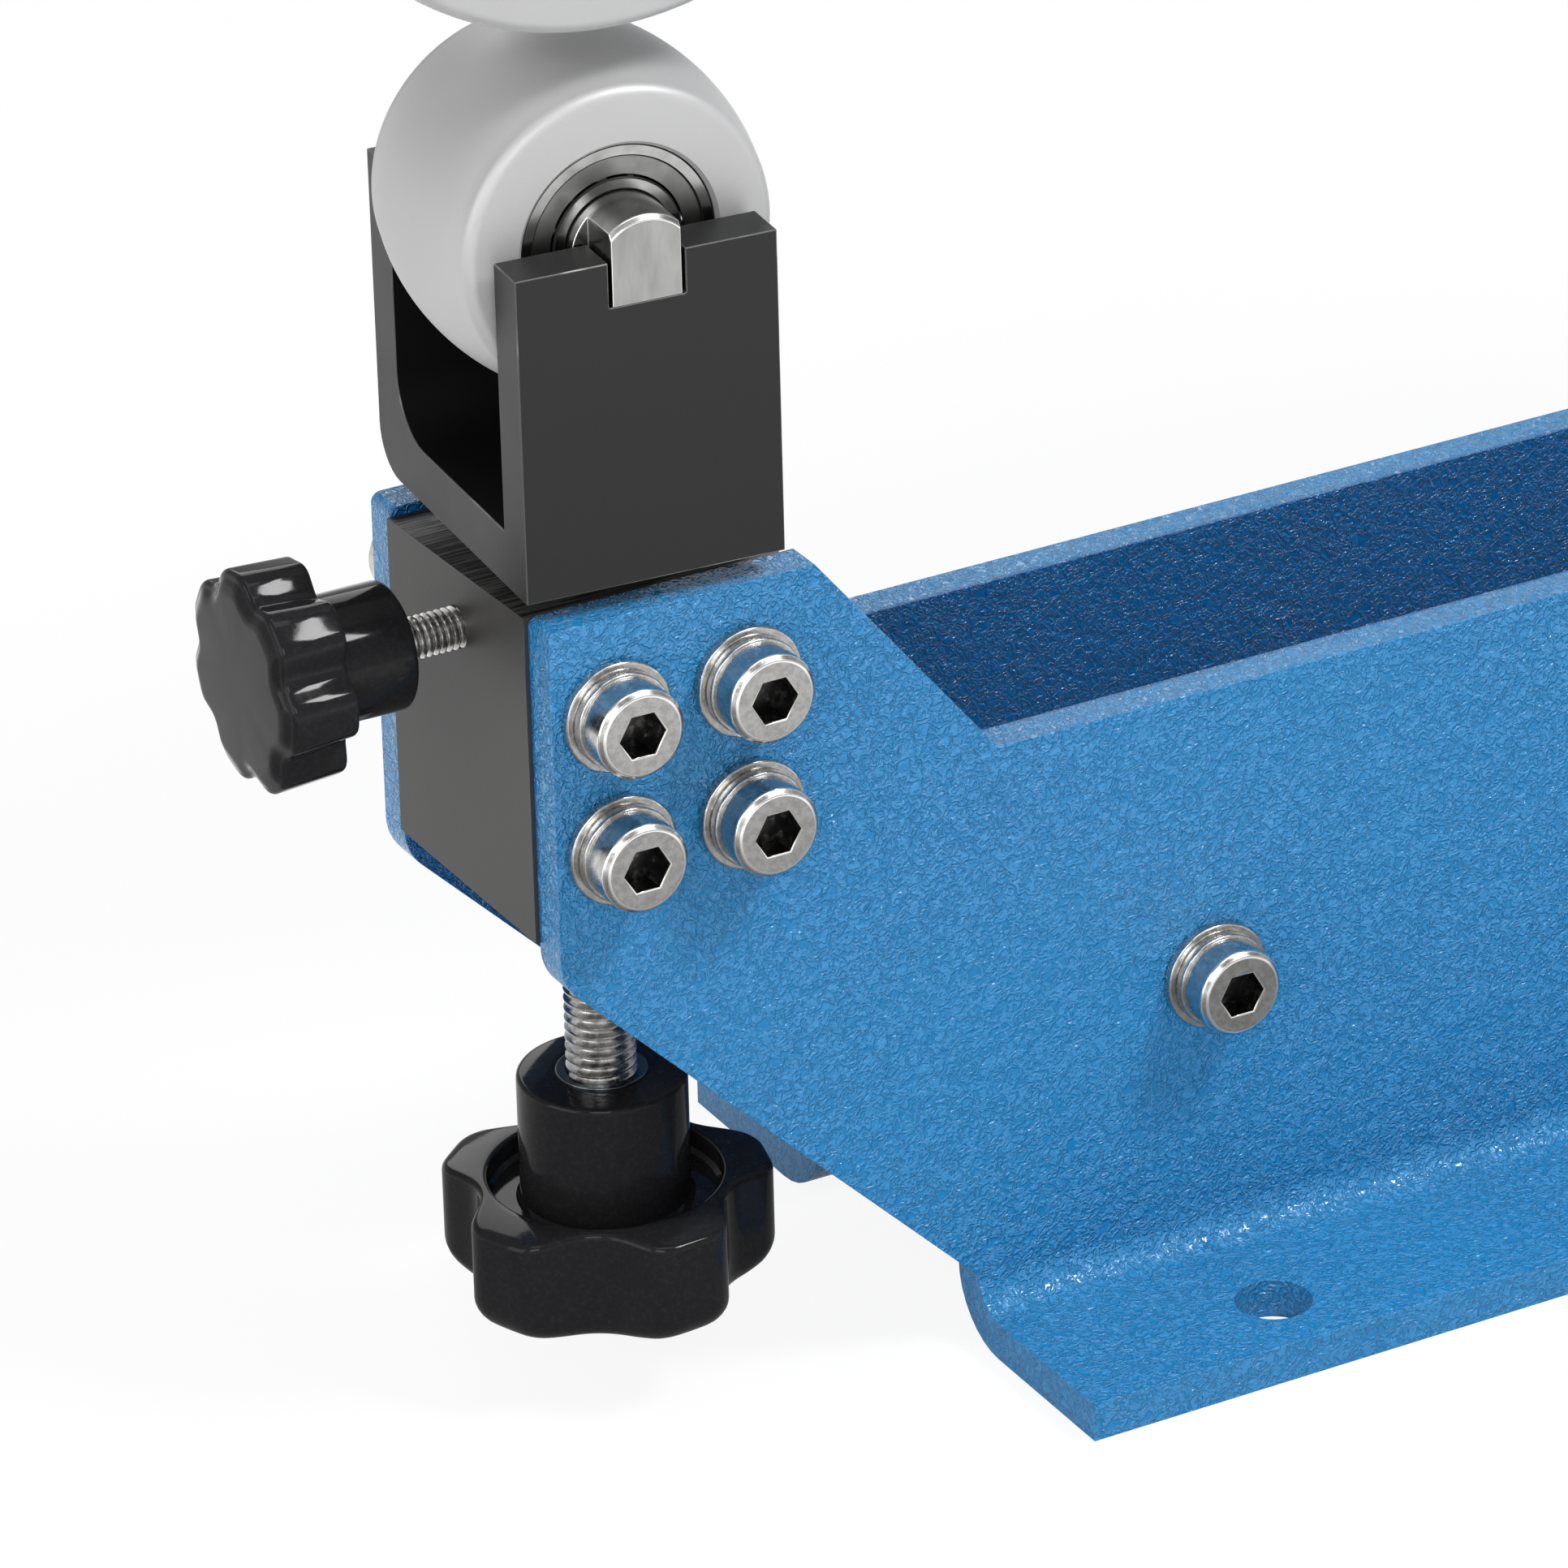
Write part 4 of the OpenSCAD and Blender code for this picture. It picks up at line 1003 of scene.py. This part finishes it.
def floor_finish():
    """Pale with shadows, whitened where it is seen, and darker near the part in gloss."""
    finish = Finish("floor", FLOOR_WHITE, roughness=0.9, specular=0.1)
    rays = finish.add("ShaderNodeLightPath").outputs
    y = finish.split(finish.place, "Y")
    front = finish.spread(y, FRONT_FAR_Y, FRONT_NEAR_Y, GLOSS_IN_FRONT, GLOSS_NEAR_PART)
    behind = finish.spread(y, BEHIND_NEAR_Y, BEHIND_FAR_Y, 0.0, GLOSS_BEHIND - GLOSS_NEAR_PART)
    in_gloss = finish.combine("MULTIPLY", rays["Is Glossy Ray"], finish.combine("ADD", front, behind))
    seen = finish.combine("MAXIMUM", rays["Is Camera Ray"], rays["Is Transmission Ray"])
    seen_glow = finish.combine("MULTIPLY", seen, FLOOR_GLOW)
    glow_share = finish.combine("MAXIMUM", seen_glow, rays["Is Glossy Ray"])
    glow = finish.add("ShaderNodeEmission")
    finish.feed(glow.inputs["Strength"], finish.combine("MAXIMUM", seen, in_gloss))
    mix = finish.add("ShaderNodeMixShader")
    for socket, value in zip(mix.inputs, (glow_share, finish.shader.outputs[0], glow.outputs[0])):
        finish.feed(socket, value)
    finish.feed(finish.tree.nodes["Material Output"].inputs["Surface"], mix.outputs[0])
    return finish.material


def make_floor():
    half = FLOOR_HALF
    corners = [(-half, -half, 0), (half, -half, 0), (half, half, 0), (-half, half, 0)]
    mesh = bpy.data.meshes.new("floor")
    mesh.from_pydata(corners, [], [(0, 1, 2, 3)])
    mesh.materials.append(floor_finish())
    floor = bpy.data.objects.new("floor", mesh)
    bpy.context.scene.collection.objects.link(floor)


def make_world():
    """White where it is seen, a plain level as light, and darker overhead than low down in gloss."""
    world = bpy.data.worlds.new("studio")
    bpy.context.scene.world = world
    world.use_nodes = True
    tree = world.node_tree
    rays = tree.nodes.new("ShaderNodeLightPath").outputs
    height = tree.nodes.new("ShaderNodeSeparateXYZ")
    tree.links.new(tree.nodes.new("ShaderNodeTexCoord").outputs["Generated"], height.inputs[0])
    gloss = tree.nodes.new("ShaderNodeMapRange")
    gloss.inputs["From Min"].default_value = 0.0
    gloss.inputs["From Max"].default_value = OVERHEAD_Z
    gloss.inputs["To Min"].default_value = GLOSS_AT_HORIZON
    gloss.inputs["To Max"].default_value = GLOSS_OVERHEAD
    tree.links.new(height.outputs["Z"], gloss.inputs["Value"])
    in_gloss = tree.nodes.new("ShaderNodeMix")
    in_gloss.inputs[MIX_VALUES[0]].default_value = WORLD_LEVEL
    tree.links.new(gloss.outputs["Result"], in_gloss.inputs[MIX_VALUES[1]])
    tree.links.new(rays["Is Glossy Ray"], in_gloss.inputs[MIX_FACTOR])
    level = in_gloss.outputs[MIX_VALUE_RESULT]
    for ray in ("Is Camera Ray", "Is Transmission Ray"):
        white = tree.nodes.new("ShaderNodeMix")
        white.inputs[MIX_VALUES[1]].default_value = 1.0
        tree.links.new(level, white.inputs[MIX_VALUES[0]])
        tree.links.new(rays[ray], white.inputs[MIX_FACTOR])
        level = white.outputs[MIX_VALUE_RESULT]
    background = tree.nodes["Background"]
    tree.links.new(level, background.inputs["Strength"])
    background.inputs["Color"].default_value = (1, 1, 1, 1)


WHEELS_PLACE = Vector(JOINTS["anvil_spin"]["pos_m"])

# Each soft box: its direction from the wheels, its distance and size in metres, and its power in watts
SOFT_BOXES = {
    "front_right_box": ((0.44, -0.46, 0.77), 1.3, 0.3, 13),
    "left_box": ((-0.95, -0.15, 0.30), 1.2, 0.9, 6.5),
    "front_left_box": ((-0.45, -0.75, 0.45), 1.6, 0.7, 8),
    "rear_box": ((0.3, 0.9, 0.5), 1.8, 0.8, 5),
    "top_box": ((0.0, -0.1, 1.0), 1.2, 0.8, 5.5),
}


def make_lights():
    """Square area lights that look at the wheels."""
    for name, (direction, distance, size, power) in SOFT_BOXES.items():
        data = bpy.data.lights.new(name, "AREA")
        data.size = size
        data.energy = power
        light = bpy.data.objects.new(name, data)
        towards = Vector(direction).normalized()
        light.location = WHEELS_PLACE + towards * distance
        light.rotation_mode = "QUATERNION"
        light.rotation_quaternion = towards.to_track_quat("Z", "Y")
        bpy.context.scene.collection.objects.link(light)


# Each dressed node's edge, and what else dressed takes for it
# Socket screws get a painted highlight on their rounded edges and painted shade in their sockets
SOCKETED = {"edge_finish": EDGE_PAINTED_HIGHLIGHT, "socket_deep": SOCKET_DEEP}
DRESSED = {
    "guide_block": (0.3 * MM, {"edge_finish": WORN_EDGE}),
    "anvil_axle": (0.2 * MM, {"edge_finish": EDGE_PAINTED_HIGHLIGHT}),
    "upper_axle_washers": (0.3 * MM, {}),
    "upper_axle_bolts": (0.25 * MM, SOCKETED),
    "lift_knob_insert": (0.2 * MM, {}),
    "clamp_knob_insert": (0.15 * MM, {}),
}
for side_name in ("near", "far"):
    DRESSED[side_name + "_side_plate"] = (1.0 * MM, {"segments": 3})
    DRESSED["block_bolts_" + side_name] = (0.25 * MM, SOCKETED)
    DRESSED["tie_bolts_" + side_name] = (0.25 * MM, SOCKETED)
    DRESSED["flat_washers_" + side_name] = (0.3 * MM, {})
    DRESSED["spring_washers_" + side_name] = (0.3 * MM, {})
for wheel_name in ("anvil", "upper"):
    # The bearing rings' rounded edges take the painted shade of their gaps
    DRESSED[wheel_name + "_bearing_outer_rings"] = (0.4 * MM, {"edge_finish": GAP_PAINTED_SHADE})
    DRESSED[wheel_name + "_bearing_inner_rings"] = (0.35 * MM, {"edge_finish": GAP_PAINTED_SHADE})
YOKE_EDGE = 0.18 * MM


def main():
    bpy.context.scene.view_settings.view_transform = "Standard"
    make_camera()
    finish_cad_nodes()
    for node, (edge, settings) in DRESSED.items():
        dressed(node, edge, **settings)
    paint_shade_in_yoke(dressed("yoke", YOKE_EDGE, edge_finish=WORN_EDGE))
    make_anvil_wheel()
    make_upper_wheel()
    make_lift_knob()
    make_clamp_knob()
    threaded_rod("lift_screw_threaded", "lift_screw", "lift_turn")
    threaded_rod("clamp_screw_threaded", "clamp_screw", "clamp_turn")
    make_floor()
    make_world()
    make_lights()


main()
